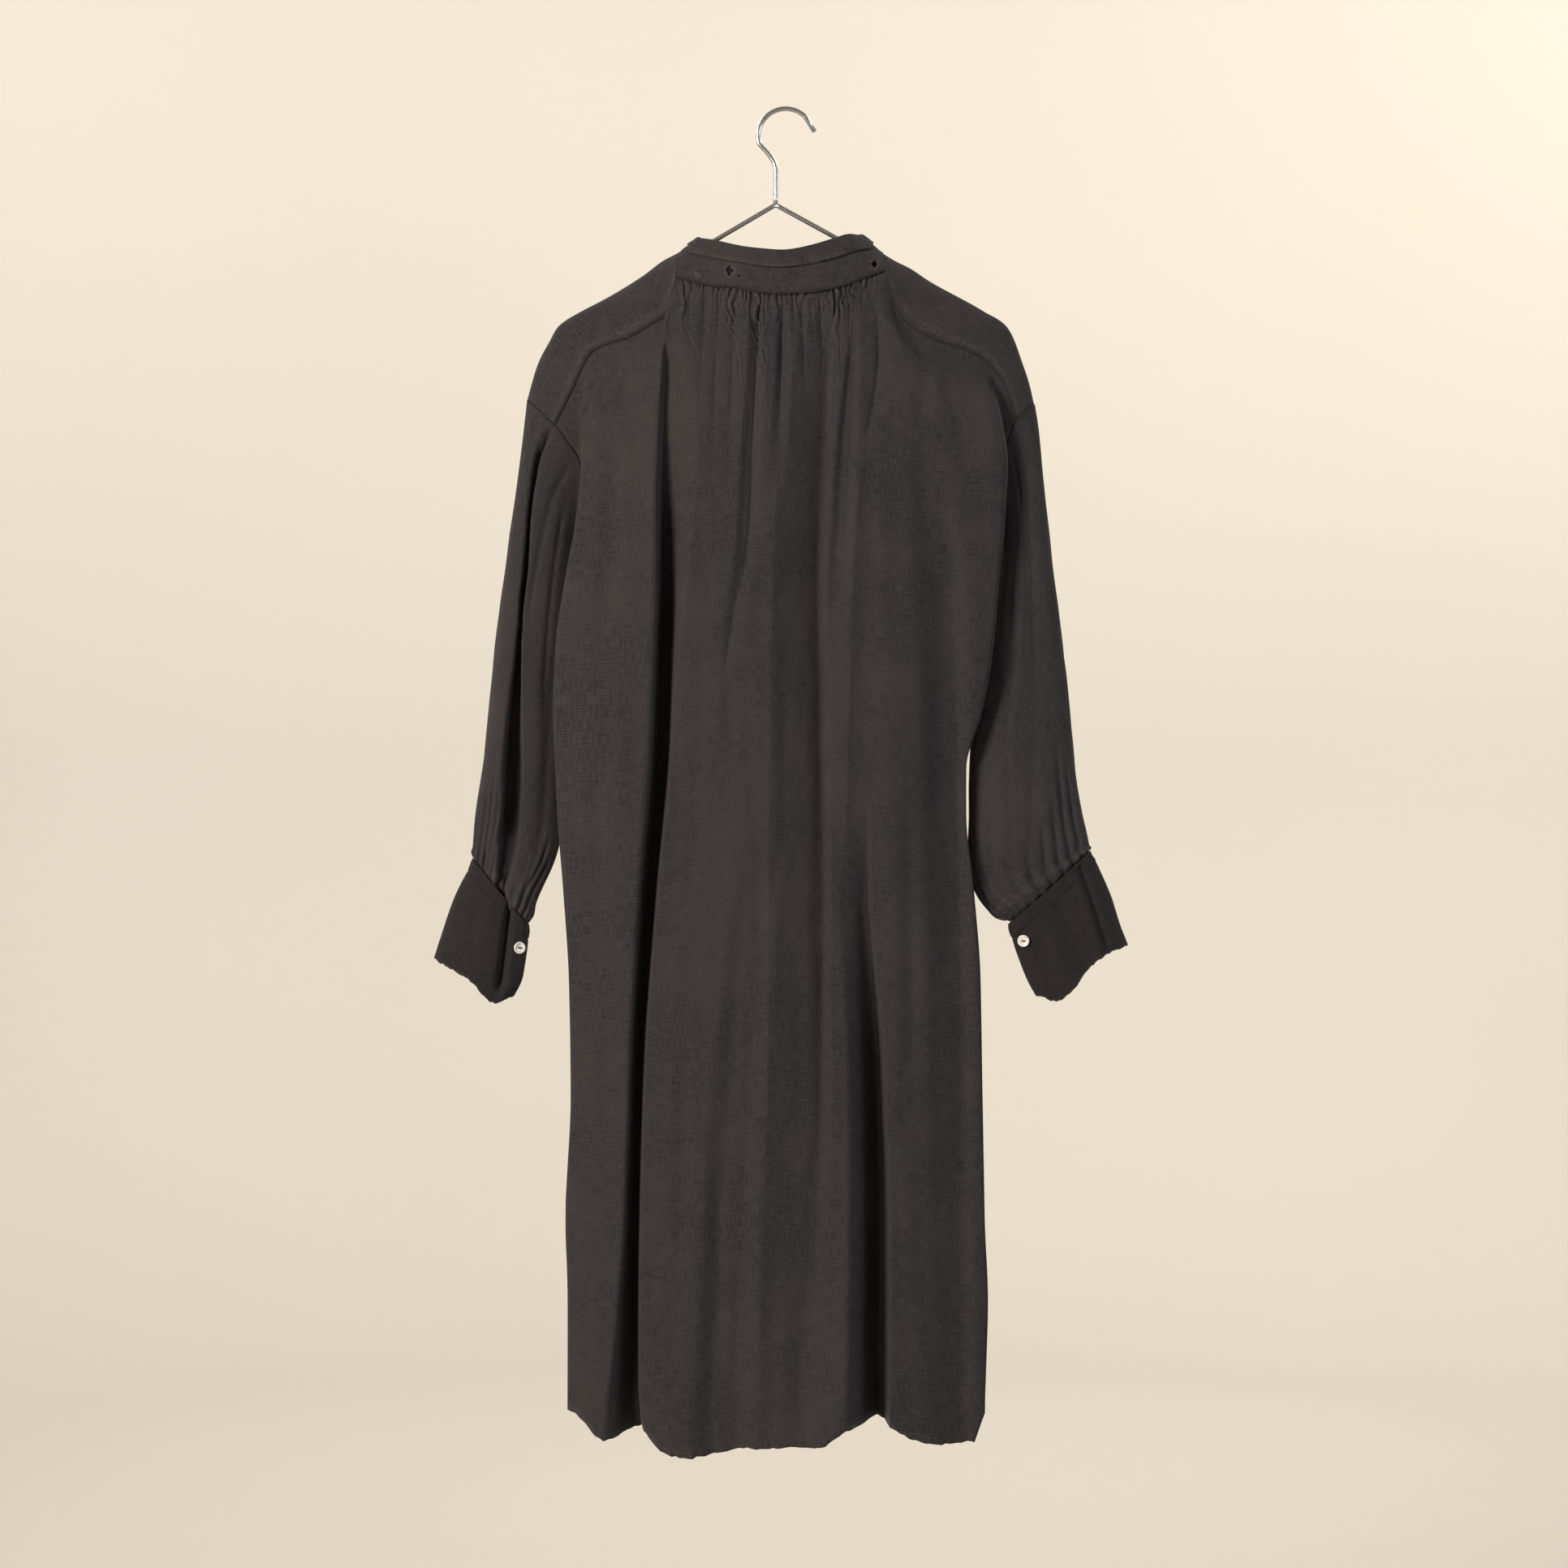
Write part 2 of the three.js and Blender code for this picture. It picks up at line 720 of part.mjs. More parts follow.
function backRows() {
  const { columns, leftCorner, rightCorner } = backColumns();
  const tops = columns.map((column, c) => {
    if (c <= leftCorner) return sides.left.seamPoint(yokeStations[foldStation - c]);
    if (c >= rightCorner) return sides.right.seamPoint(yokeStations[c - rightCorner]);
    const span = [columns[leftCorner](-180), columns[rightCorner](-180)];
    const share = (column(-180) - span[0]) / (span[1] - span[0]);
    return curveAtX(neckBackCurve, lerp(neckBack[0].x, neckBack[neckBack.length - 1].x, share));
  });
  const facePoint = (c, i) => {
    const top = tops[c];
    const bottom = hemAt(columns[c](-1270));
    const z = rowHeight(i, top.z, bottom, rowsBelow.back);
    const settle = smooth((top.z - z) / 75);
    const x = columns[c](z) + (top.x - columns[c](top.z)) * (1 - settle);
    const drop = smooth((top.z - z) / 46);
    return point(x, lerp(top.y, backY(x, z), drop), z);
  };
  // the cloth behind each fold edge, back to the armhole and the side seam
  const returnPoint = (side, h, i) => {
    const station = foldStation + h * (yokeStations.length - 1 - foldStation);
    const edgeColumn = side.sign < 0 ? 0 : columns.length - 1;
    const fold = facePoint(edgeColumn, i);
    const seam = sideEdgePoint(side, "back", i);
    const tucked = tuck(fold, seam, h, i);
    const top = side.seamPoint(yokeStations[Math.round(station)]);
    const settle = smooth(i / 3);
    const shift = point(top.x, top.y, top.z);
    const topTucked = returnTop(side, h, edgeColumn);
    shift.sub(topTucked).multiplyScalar(1 - settle);
    return tucked.add(shift);
  };
  const tuck = (fold, seam, h, i = 0) => {
    const below = smooth((i - armholeRows) / 3);
    const x = lerp(fold.x, seam.x, h ** lerp(0.75, 1.3, below));
    return point(x, lerp(fold.y, seam.y, h ** lerp(1.1, 0.75, below)), lerp(fold.z, seam.z, h));
  };
  const returnTop = (side, h, edgeColumn) => {
    const fold = facePoint(edgeColumn, 0);
    const seam = sideEdgePoint(side, "back", 0);
    return tuck(fold, seam, h);
  };
  const steps = yokeStations.length - 1 - foldStation;
  const rows = [];
  for (let i = 0; i < rowCount("back"); i++) {
    const row = columns.map((_, c) => facePoint(c, i));
    for (let s = 1; s <= steps; s++) {
      row.unshift(returnPoint(sides.left, s / steps, i));
      row.push(returnPoint(sides.right, s / steps, i));
    }
    rows.push(row);
  }
  return { rows, from: leftCorner + steps, to: rightCorner + steps };
}

// Makes the first rows between two columns dense and ripples them into gathers.
function gatherTop(grid, count, way, amounts) {
  const { rows, from, to } = grid;
  const points = count * pointsPerGather;
  const top = rows[0];
  const spots = [];
  for (let j = 0; j <= points; j++) {
    const x = lerp(top[from].x, top[to].x, j / points);
    let c = from;
    while (c < to - 1 && top[c + 1].x < x) c++;
    spots.push(c + (x - top[c].x) / (top[c + 1].x - top[c].x));
  }
  const places = rows.map((row) => row.map((_, c) => c));
  const made = rows.map((row, i) => {
    if (i >= amounts.length) return row;
    const ripple = spots.map((spot, j) => {
      const c = Math.min(Math.floor(spot), to - 1);
      const p = mix(row[c], row[c + 1], spot - c);
      const fade = Math.min(1, j / 3, (points - j) / 3);
      p.y += way * amounts[i] * gatherDepth * fade * Math.cos((2 * Math.PI * j) / pointsPerGather);
      return p;
    });
    places[i] = [...places[i].slice(0, from), ...spots, ...places[i].slice(to + 1)];
    return [...row.slice(0, from), ...ripple, ...row.slice(to + 1)];
  });
  return { rows: made, places };
}

function frontRows() {
  const neckSteps = 13;
  const outer = yokeStations.length - 1;
  const tops = [];
  for (let k = outer; k > 0; k--) tops.push(sides.left.frontSeamPoint(yokeStations[k]));
  for (let j = 0; j <= neckSteps; j++) {
    const ends = [neckFront[0].x, neckFront[neckFront.length - 1].x];
    tops.push(curveAtX(neckFrontCurve, lerp(ends[0], ends[1], j / neckSteps)));
  }
  for (let k = 1; k <= outer; k++) tops.push(sides.right.frontSeamPoint(yokeStations[k]));
  const last = tops.length - 1;
  const share = tops.map((top) => (top.x - tops[0].x) / (tops[last].x - tops[0].x));
  const rows = [];
  for (let i = 0; i < rowCount("front"); i++) {
    const ends = [sideEdgePoint(sides.left, "front", i), sideEdgePoint(sides.right, "front", i)];
    rows.push(
      tops.map((top, c) => {
        if (c === 0) return ends[0];
        if (c === last) return ends[1];
        const z = rowHeight(i, top.z, hemAt(lerp(-200, 184, share[c])) + 2, rowsBelow.front);
        const edge = Math.min(share[c], 1 - share[c]);
        const height = lerp(edgeAt(ends, share[c]).z, z, smooth(edge / 0.1));
        const seams = [edgeX(sides.left, height), edgeX(sides.right, height)];
        const across = lerp(seams[0], seams[1], spread(share[c]));
        const settle = smooth((top.z - height) / 90);
        const x = lerp(top.x, across, settle);
        const crown = 1 - Math.abs(2 * share[c] - 1) ** 6;
        const full = lerp(sideSeamY, 25, crown) - valleyDepth(frontFold, x, height);
        return point(x, lerp(top.y, full, settle), height);
      }),
    );
  }
  return { rows, from: outer, to: outer + neckSteps };
}
const spread = (t) => lerp(t, smooth(t), -0.25);
const edgeAt = (ends, t) => (t < 0.5 ? ends[0] : ends[1]);
const edgeX = (side, z) => (z < underarmZ ? side.seam(z) : side.armFrontX(z));

// Shoulder yoke
function yokeRows(side) {
  return side.rungs.map((rung) =>
    Array.from({ length: archSteps + 1 }, (_, a) => archPoint(rung, archStops[a])),
  );
}

// Sleeves: each row is a flattened ring from an outer edge point to an inner edge point.
const sleeveColumns = ["outX", "outZ", "inX", "inZ", "inY", "half", "valley", "valleyAt"];
const sleeveSections = {
  left: table(sleeveColumns, [
    [-248, -278, -192, -403, 5, 13, 0, 0.2],
    [-250, -296, -197, -413, 9, 13, 3, 0.2],
    [-253, -322, -200, -427, 10, 14, 5, 0.2],
    [-258, -361, -202, -452, 10, 15, 6, 0.22],
    [-265, -410, -205, -482, 9, 15, 7, 0.28],
    [-272, -460, -208, -512, 8, 16, 8, 0.3],
    [-279, -518, -211, -558, 8, 16, 9, 0.33],
    [-285, -575, -212, -605, 8, 15, 10, 0.34],
    [-290, -625, -214, -652, 7, 14, 11, 0.37],
    [-295, -660, -216, -692, 5, 13, 10, 0.4],
    [-298, -684, -224, -724, 3, 12, 7, 0.44],
    [-300, -704, -238, -757, 0, 11, 5, 0.48],
    [-300, -718, -247, -782, -2, 10, 3, 0.5],
  ]),
  right: table(sleeveColumns, [
    [239, -283, 192, -403, 5, 13, 0, 0.4],
    [243, -310, 199, -416, 10, 12, 1, 0.4],
    [247, -353, 200, -439, 11, 13, 2, 0.4],
    [254, -415, 196, -480, 10, 15, 2, 0.4],
    [262, -480, 190, -525, 9, 15, 2, 0.45],
    [268, -533, 186, -560, 8, 15, 2, 0.45],
    [273, -580, 183, -600, 3, 16, 2, 0.5],
    [278, -634, 182, -655, 0, 15, 3, 0.5],
    [284, -673, 184, -705, -3, 14, 3, 0.5],
    [289, -694, 189, -742, -4, 13, 2, 0.5],
    [291, -704, 200, -764, -5, 11, 1, 0.5],
    [292, -711, 214, -781, -6, 10, 0, 0.5],
  ]),
};
const valleyHalf = 0.075; // of the sleeve's width

// The armhole as a ring: over the shoulder to the back join, down to the underarm and up the front.
function armholeRing(side) {
  const rung = side.rungs[side.rungs.length - 1];
  const ring = [];
  for (let a = archSteps / 2; a >= 0; a--) ring.push(archPoint(rung, archStops[a]));
  for (let i = 1; i <= armholeRows; i++) ring.push(sideEdgePoint(side, "back", i));
  for (let i = armholeRows - 1; i >= 0; i--) ring.push(sideEdgePoint(side, "front", i));
  for (let a = archSteps - 1; a > archSteps / 2; a--) ring.push(archPoint(rung, archStops[a]));
  return ring;
}

function sleeveRows(name) {
  const side = sides[name];
  const ring = armholeRing(side);
  const low = archSteps / 2 + armholeRows; // the underarm's place in the ring
  const sections = sleeveSections[name];
  const shares = ring.map((_, j) => {
    const half = j <= low ? j / low : (ring.length - j) / (ring.length - low);
    return (1 - Math.cos(Math.PI * half)) / 2;
  });
  const frameOf = (s) => ({
    out: point(s.outX, 0, s.outZ),
    run: point(s.inX - s.outX, s.inY, s.inZ - s.outZ),
  });
  const first = frameOf(sections[0]);
  const length = first.run.length();
  const unit = first.run.clone().normalize();
  const across = point(-unit.z, 0, unit.x).normalize();
  const shape = ring.map((p) => {
    const d = p.clone().sub(first.out);
    return { a: d.dot(unit) / length, off: d.dot(across), y: d.y - d.dot(unit) * unit.y };
  });
  return sections.map((section, r) => {
    if (r === 0) return ring;
    const { out, run } = frameOf(section);
    const keep = [1, 0.62, 0.28, 0.08][r] ?? 0;
    const dir = run.clone().normalize();
    const cross = point(-dir.z, 0, dir.x).normalize();
    return ring.map((_, j) => {
      const a = lerp(shares[j], shape[j].a, keep);
      const face = j <= low ? -1 : 1;
      const oval = Math.sqrt(Math.max(0, 1 - (2 * shares[j] - 1) ** 2)) * section.half * face;
      const p = out.clone().addScaledVector(run, a);
      p.addScaledVector(cross, shape[j].off * keep);
      p.y += lerp(oval, shape[j].y, keep);
      const near = Math.abs(a - section.valleyAt) / (face < 0 ? valleyHalf : 2 * valleyHalf);
      const dip = section.valley * (1 - smooth(near - 0.35));
      p.y += face < 0 ? dip : -0.4 * dip;
      return p;
    });
  });
}

// Ripples the last rows of a ring into gathers, denser than the rest.
function gatherWrist(rows, count, amounts) {
  const n = rows[0].length;
  const points = count * pointsPerGather;
  const places = rows.map((row) => row.map((_, j) => j / n));
  const first = rows.length - amounts.length;
  const made = rows.map((row, i) => {
    if (i < first) return row;
    const centre = row.reduce((sum, p) => sum.add(p), point(0, 0, 0)).divideScalar(n);
    const lengths = [0];
    for (let j = 1; j <= n; j++) {
      lengths.push(lengths[j - 1] + row[j % n].distanceTo(row[j - 1]));
    }
    const dense = [];
    const spots = [];
    for (let k = 0; k < points; k++) {
      const at = (lengths[n] * k) / points;
      let j = 0;
      while (lengths[j + 1] <= at) j++;
      const share = (at - lengths[j]) / (lengths[j + 1] - lengths[j]);
      const p = mix(row[j], row[(j + 1) % n], share);
      const run = row[(j + 1) % n].clone().sub(row[j]);
      const down = row[j].clone().sub(rows[i - 1][j]);
      const out = run.cross(down).normalize();
      if (out.dot(p.clone().sub(centre)) < 0) out.negate();
      const wave = Math.cos((2 * Math.PI * k) / pointsPerGather);
      dense.push(p.addScaledVector(out, amounts[i - first] * gatherDepth * wave));
      spots.push((j + share) / n);
    }
    places[i] = spots;
    return dense;
  });
  return { rows: made, places };
}

// Cuffs: a narrow wristband strip, then the flare. Each is a strip whose ends meet at the inner edge.
const cuffColumns = ["outX", "outZ", "inX", "inZ", "outY", "inY", "half", "open"];
const cuffSections = {
  left: table(cuffColumns, [
    [-300, -718, -247, -782, 0, -2, 10, 0],
    [-302.5, -723, -247.5, -788, 0, -2, 10.4, 0],
    [-306, -731, -248, -796, 0, -3, 10.5, 0.1],
    [-314, -749, -249, -808, 0, -4, 12, 0.3],
    [-322, -769, -251, -821, 0, -5, 13, 0.5],
    [-330, -791, -254, -835, 0, -5, 14, 0.75],
    [-338, -814, -261, -849, 0, -5, 15, 1],
  ]),
  right: table(cuffColumns, [
    [292, -711, 214, -781, 0, -6, 10, 0],
    [294.5, -715, 215.5, -787, 0, -6, 10.4, 0],
    [299, -722, 218, -795, 0, -6, 10.5, 0.1],
    [306, -739, 222, -808, 0, -6, 12, 0.3],
    [313, -759, 227, -821, 0, -6, 13, 0.5],
    [320, -780, 233, -835, 0, -6, 14, 0.75],
    [328, -801, 240, -848, 0, -6, 15, 1],
  ]),
};
// How far the free edge hangs below the straight line between its ends, on the back face.
const cuffDrop = {
  left: table(["at", "drop"], [[0, 0], [0.25, 1], [0.5, 4], [0.7, 15], [0.8, 15], [0.92, 5], [1, 0]]),
  right: table(["at", "drop"], [[0, 0], [0.2, -3], [0.45, 1], [0.6, 14], [0.78, 17], [0.9, 8], [1, 0]]),
};
const cuffPoints = 22;

function cuffRows(name) {
  const sections = cuffSections[name];
  const dropAt = along(cuffDrop[name], "at", "drop");
  return sections.map((s, r) => {
    const out = point(s.outX, s.outY, s.outZ);
    const run = point(s.inX, s.inY, s.inZ).sub(out);
    const round = 2.25 * run.length();
    const gap = (cuffSlit + cuffFlare * s.open) / round;
    const row = [];
    for (let j = 0; j <= cuffPoints; j++) {
      const t = 0.5 + gap / 2 + (1 - gap) * (j / cuffPoints);
      const turn = 2 * Math.PI * t;
      const a = (1 - Math.cos(turn)) / 2;
      const p = out.clone().addScaledVector(run, a);
      p.y -= s.half * Math.sin(turn);
      if (r > 2) p.z -= dropAt(a) * smooth((r - 2) / (sections.length - 3));
      row.push(p);
    }
    return row;
  });
}

// Buttons: a disc with a raised rim and two holes, lying on its cuff.
// Its place is counted in rows and columns of the cuff.
const buttonPlaces = {
  left: { row: 3, share: 0, column: 20 },
  right: { row: 2, share: 0.6, column: 20 },
};
const buttonSides = 16;
const threadHole = { radius: 0.85, spacing: 3, sides: 8 };

function buttonGeometry(name) {
  const r = buttonDiameter / 2;
  const h = buttonThickness;
  const profile = [
    [0, 0],
    [0.55 * r, 0],
    [0.93 * r, 0.3 * h],
    [r, 0.62 * h],
    [0.9 * r, h],
    [0.72 * r, 0.94 * h],
    [0.6 * r, 0.66 * h],
    [0, 0.62 * h],
  ].map(([x, y]) => new THREE.Vector2(x, y));
  const { radius, spacing, sides: holeSides } = threadHole;
  const hole = new THREE.CylinderGeometry(radius, radius, 3 * h, holeSides);
  let disc = solidOf(new THREE.LatheGeometry(profile, buttonSides));
  for (const x of [-spacing / 2, spacing / 2]) {
    disc = disc.subtract(solidOf(hole.clone().translate(x, 0, 0)));
  }
  const { row, share, column } = buttonPlaces[name];
  const rows = cuffRows(name);
  const p = mix(rows[row][column], rows[row + 1][column], share);
  const acrossRow = rows[row][column + 1].clone().sub(rows[row][column - 1]);
  const downColumn = rows[row + 1][column].clone().sub(rows[row - 1][column]);
  const out = acrossRow.clone().cross(downColumn).normalize();
  if (out.y > 0) out.negate();
  const geometry = geometryOf(disc);
  const turn = new THREE.Quaternion().setFromUnitVectors(point(0, 1, 0), out);
  geometry.applyQuaternion(turn);
  const base = p.clone().addScaledVector(out, clothThickness / 2 + buttonLift);
  return geometry.translate(base.x, base.y, base.z);
}

// Hanger
class BentWire extends THREE.Curve {
  constructor(points) {
    super();
    this.points = points;
  }
  getPoint(t, target = new THREE.Vector3()) {
    const place = t * (this.points.length - 1);
    const i = Math.min(Math.floor(place), this.points.length - 2);
    return target.lerpVectors(this.points[i], this.points[i + 1], place - i);
  }
  getUtoTmapping(u) {
    return u;
  }
}

const hook = { radius: 26.4, stemX: -9.6, apexZ: -90, from: 44, to: 196 };
const shoulders = {
  left: { slope: 0.586, bendX: -206 },
  right: { slope: 0.548, bendX: 195 },
};
const cornerRadius = 9;
const wireSides = 8;

function rod(points) {
  const circle = Array.from({ length: wireSides }, (_, i) => {
    const a = (2 * Math.PI * (i + 0.5)) / wireSides;
    return new THREE.Vector2(wireRadius * Math.cos(a), wireRadius * Math.sin(a));
  });
  const path = new BentWire(points.map(([x, z]) => point(x, 0, z)));
  const options = { steps: points.length - 1, extrudePath: path, bevelEnabled: false };
  return solidOf(new THREE.ExtrudeGeometry(new THREE.Shape(circle), options));
}

function hookPoints() {
  const centreZ = wireRadius - hook.radius;
  const points = [[27.8, -19.8]];
  const steps = 11;
  for (let i = 0; i <= steps; i++) {
    const a = THREE.MathUtils.degToRad(lerp(hook.from, hook.to, i / steps));
    points.push([hook.radius * Math.cos(a), centreZ + hook.radius * Math.sin(a)]);
  }
  points.push([-16.4, -41.4], [-12, -47.8], [-10.1, -52.4], [hook.stemX, -57], [hook.stemX, -91]);
  return points;
}

// From the apex along one arm, round its corner and back along the lower bar.
function armPoints(sign, { slope, bendX }) {
  const tilt = Math.atan(slope);
  const lineZ = hook.apexZ - slope * Math.abs(bendX - hook.stemX);
  const centreZ = lineZ - cornerRadius / Math.cos(tilt);
  const points = [
    [hook.stemX - sign * 1.5, hook.apexZ + slope * 1.5],
    [lerp(hook.stemX, bendX, 0.5), lerp(hook.apexZ, lineZ, 0.5)],
  ];
  const steps = 7;
  for (let i = 0; i <= steps; i++) {
    const a = lerp(Math.PI / 2 - tilt, -Math.PI / 2, i / steps);
    points.push([bendX + sign * cornerRadius * Math.cos(a), centreZ + cornerRadius * Math.sin(a)]);
  }
  return { points, barZ: centreZ - cornerRadius };
}

function hangerSolid() {
  const left = armPoints(-1, shoulders.left);
  const right = armPoints(1, shoulders.right);
  const middleZ = (left.barZ + right.barZ) / 2;
  left.points.push([2, middleZ]);
  right.points.push([-2, middleZ]);
  return rod(hookPoints()).add(rod(left.points)).add(rod(right.points));
}

// Rips: small ragged holes worn through the band beside its seams.
function ragged(x, z, width, height, teeth) {
  return teeth.map((reach, i) => {
    const a = (2 * Math.PI * i) / teeth.length;
    return [x + (width / 2) * reach * Math.cos(a), z + (height / 2) * reach * Math.sin(a)];
  });
}
const rips = [
  { outline: ragged(-53.5, -158.5, 6.4, 7.6, [1, 0.7, 1.15, 0.8, 1, 0.75, 1.1, 0.8]) },
  { outline: ragged(84.5, -151.5, 5.6, 6.6, [1, 0.8, 1.1, 0.75, 1, 0.8, 1.1, 0.7]) },
];

// Materials
const linen = { color: 0x433d3b, roughness: 0.92, metalness: 0 };
const cuffLinen = { color: 0x332f2e, roughness: 0.92, metalness: 0 };
const pearl = { color: 0xd8d4cb, roughness: 0.32, metalness: 0 };
const brightWire = { color: 0xc4c6c8, roughness: 0.22, metalness: 1 };

const frock = new THREE.Group();
function addPiece(name, geometry, finish) {
  const flat = geometry.index ? geometry.toNonIndexed() : geometry;
  flat.computeVertexNormals();
  const mesh = new THREE.Mesh(flat, new THREE.MeshStandardMaterial(finish));
  mesh.name = name;
  frock.add(mesh);
}

function pullPanel(rows) {
  const atSides = (i) => sidePull - seamPull + nearUnderarm(i - armholeRows);
  const sideways = pullBack(rows, { left: true, right: true }, atSides);
  // where the top edge is steep, the rows run along it and need more room
  const steep = (_, j) => {
    const run = rows[0][Math.min(j + 1, rows[0].length - 1)].clone().sub(rows[0][Math.max(j - 1, 0)]);
    return seamPull + steepPull * Math.abs(run.z / run.length()) ** 4;
  };
  return pullBack(sideways, { top: true }, steep);
}

function bandWithRips() {
  let band = solidOf(clothWall(pullBack(bandSurface, { bottom: true }, () => bandPull)));
  for (const { outline } of rips) band = band.subtract(solidOf(prismAlongY(outline, -60, -5)));
  return geometryOf(band);
}

function frontWithSlit() {
  const grid = frontRows();
  const pulled = { ...grid, rows: pullPanel(grid.rows) };
  const gathered = gatherTop(pulled, frontGathers, 1, [1, 1]);
  const wall = solidOf(clothWall(gathered.rows, gathered));
  const { top, bottom, length } = frontSlit;
  const outline = [
    [-top / 2, -205],
    [-bottom / 2, -212 - length],
    [bottom / 2, -212 - length],
    [top / 2, -205],
  ];
  return geometryOf(wall.subtract(solidOf(prismAlongY(outline, 8, 60))));
}

function backWall() {
  const grid = backRows();
  const pulled = { ...grid, rows: pullPanel(grid.rows) };
  const gathered = gatherTop(pulled, backGathers, -1, [1, 1.2, 0.7]);
  return clothWall(gathered.rows, gathered);
}

addPiece("back", backWall(), linen);
addPiece("front", frontWithSlit(), linen);
addPiece("neck_band", bandWithRips(), linen);
addPiece("collar", clothWall(collarRows()), linen);
for (const name of ["left", "right"]) {
  const all = { top: true, bottom: true, left: true, right: true };
  addPiece("yoke_" + name, clothWall(pullBack(yokeRows(sides[name]), all)), linen);
  const low = archSteps / 2 + armholeRows;
  const atTop = pullBack(sleeveRows(name), { top: true }, (_, j) => nearUnderarm(j - low));
  const sleeve = pullBack(atTop, { bottom: true }, () => wristPull);
  const gathered = gatherWrist(sleeve, wristGathers, [0.6, 1]);
  addPiece("sleeve_" + name, clothWall(gathered.rows, { ...gathered, ring: true }), linen);
  addPiece("cuff_" + name, clothWall(pullBack(cuffRows(name), { top: true }, () => wristPull)), cuffLinen);
  addPiece("button_" + name, buttonGeometry(name), pearl);
}
addPiece("hanger", geometryOf(hangerSolid()), brightWire);

export default frock;
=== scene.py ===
import math
import bmesh
import bpy
import numpy as np
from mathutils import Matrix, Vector


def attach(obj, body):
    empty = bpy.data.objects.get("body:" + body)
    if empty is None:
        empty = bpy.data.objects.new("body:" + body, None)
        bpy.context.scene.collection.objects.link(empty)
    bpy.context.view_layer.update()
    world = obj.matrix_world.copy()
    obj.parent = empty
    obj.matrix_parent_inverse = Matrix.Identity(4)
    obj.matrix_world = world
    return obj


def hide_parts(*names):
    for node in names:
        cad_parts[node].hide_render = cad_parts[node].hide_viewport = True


# A dark linen smock frock seen from its back, on a bright wire hanger. Sizes are in millimetres
# in the hanger's frame, and turn to metres where a mesh is made.
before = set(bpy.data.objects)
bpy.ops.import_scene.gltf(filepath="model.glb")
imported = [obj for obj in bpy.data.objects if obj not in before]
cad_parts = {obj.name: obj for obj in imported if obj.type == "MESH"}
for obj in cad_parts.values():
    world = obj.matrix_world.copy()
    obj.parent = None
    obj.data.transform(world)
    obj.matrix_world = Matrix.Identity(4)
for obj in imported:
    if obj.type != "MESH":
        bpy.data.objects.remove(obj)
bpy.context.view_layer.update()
millimetre = 0.001
scene = bpy.context.scene

# ---- camera and stage

view = {
    "eye": (-1.6, -2400.0, -646.6),
    "halfFrame": 966 * 0.78,  # half of the frame at the garment, from 0.78 mm a pixel
}
camera = bpy.data.cameras.new("camera")
camera.sensor_width = 36
camera.lens = 18 * -view["eye"][1] / view["halfFrame"]
cameraObject = bpy.data.objects.new("camera", camera)
cameraObject.location = Vector(view["eye"]) * millimetre
cameraObject.rotation_euler = (math.radians(90), 0, 0)
scene.collection.objects.link(cameraObject)
scene.camera = cameraObject
scene.view_settings.view_transform = "Standard"


def toLinear(hexColour):
    parts = [int(hexColour[i:i + 2], 16) / 255 for i in (1, 3, 5)]
    return tuple(c / 12.92 if c <= 0.04045 else ((c + 0.055) / 1.055) ** 2.4 for c in parts) + (1.0,)


def addNode(tree, kind, settings=None, links=None):
    node = tree.nodes.new(kind)
    for key, value in (settings or {}).items():
        if isinstance(key, int) or key in node.inputs:
            node.inputs[key].default_value = value
        else:
            setattr(node, key, value)
    for key, source in (links or {}).items():
        tree.links.new(source, node.inputs[key])
    return node


def newMaterial(name):
    material = bpy.data.materials.new(name)
    material.use_nodes = True
    tree = material.node_tree
    tree.nodes.clear()
    return material, tree


def finishMaterial(tree, surface):
    addNode(tree, "ShaderNodeOutputMaterial", links={"Surface": surface.outputs[0]})


stageSizes = {"radius": 4.6, "floor": -1.95, "bend": 1.4}  # metres


def studioPaint():
    material, tree = newMaterial("paintedStudioWall")
    place = addNode(tree, "ShaderNodeTexCoord")
    cloudy = addNode(
        tree, "ShaderNodeTexNoise", {"Scale": 0.7, "Detail": 2.0}, {"Vector": place.outputs["Object"]}
    )
    tint = addNode(
        tree, "ShaderNodeMix",
        {"data_type": "RGBA", 6: toLinear("#b4b1ad"), 7: toLinear("#b0ada7")},
        {0: cloudy.outputs[0]},
    )
    paint = addNode(tree, "ShaderNodeBsdfPrincipled", {"Roughness": 0.9}, {"Base Color": tint.outputs[2]})
    finishMaterial(tree, paint)
    return material


def makeStage():
    radius, floor, bend = stageSizes["radius"], stageSizes["floor"], stageSizes["bend"]
    profile = [(0.0, floor), (radius * 0.35, floor)]
    for i in range(17):
        a = math.pi / 2 * i / 16
        profile.append((radius - bend + bend * math.sin(a), floor + bend - bend * math.cos(a)))
    profile += [(radius, 2.2), (radius * 0.8, 3.3), (0.0, 3.6)]
    sides = 96
    verts = [
        (r * math.cos(2 * math.pi * k / sides), r * math.sin(2 * math.pi * k / sides), z)
        for r, z in profile for k in range(sides)
    ]
    faces = [
        (i * sides + k, i * sides + (k + 1) % sides, (i + 1) * sides + (k + 1) % sides, (i + 1) * sides + k)
        for i in range(len(profile) - 1) for k in range(sides)
    ]
    mesh = bpy.data.meshes.new("studioSweep")
    mesh.from_pydata(verts, [], faces)
    mesh.polygons.foreach_set("use_smooth", [True] * len(mesh.polygons))
    mesh.materials.append(studioPaint())
    sweep = bpy.data.objects.new("studioSweep", mesh)
    scene.collection.objects.link(sweep)


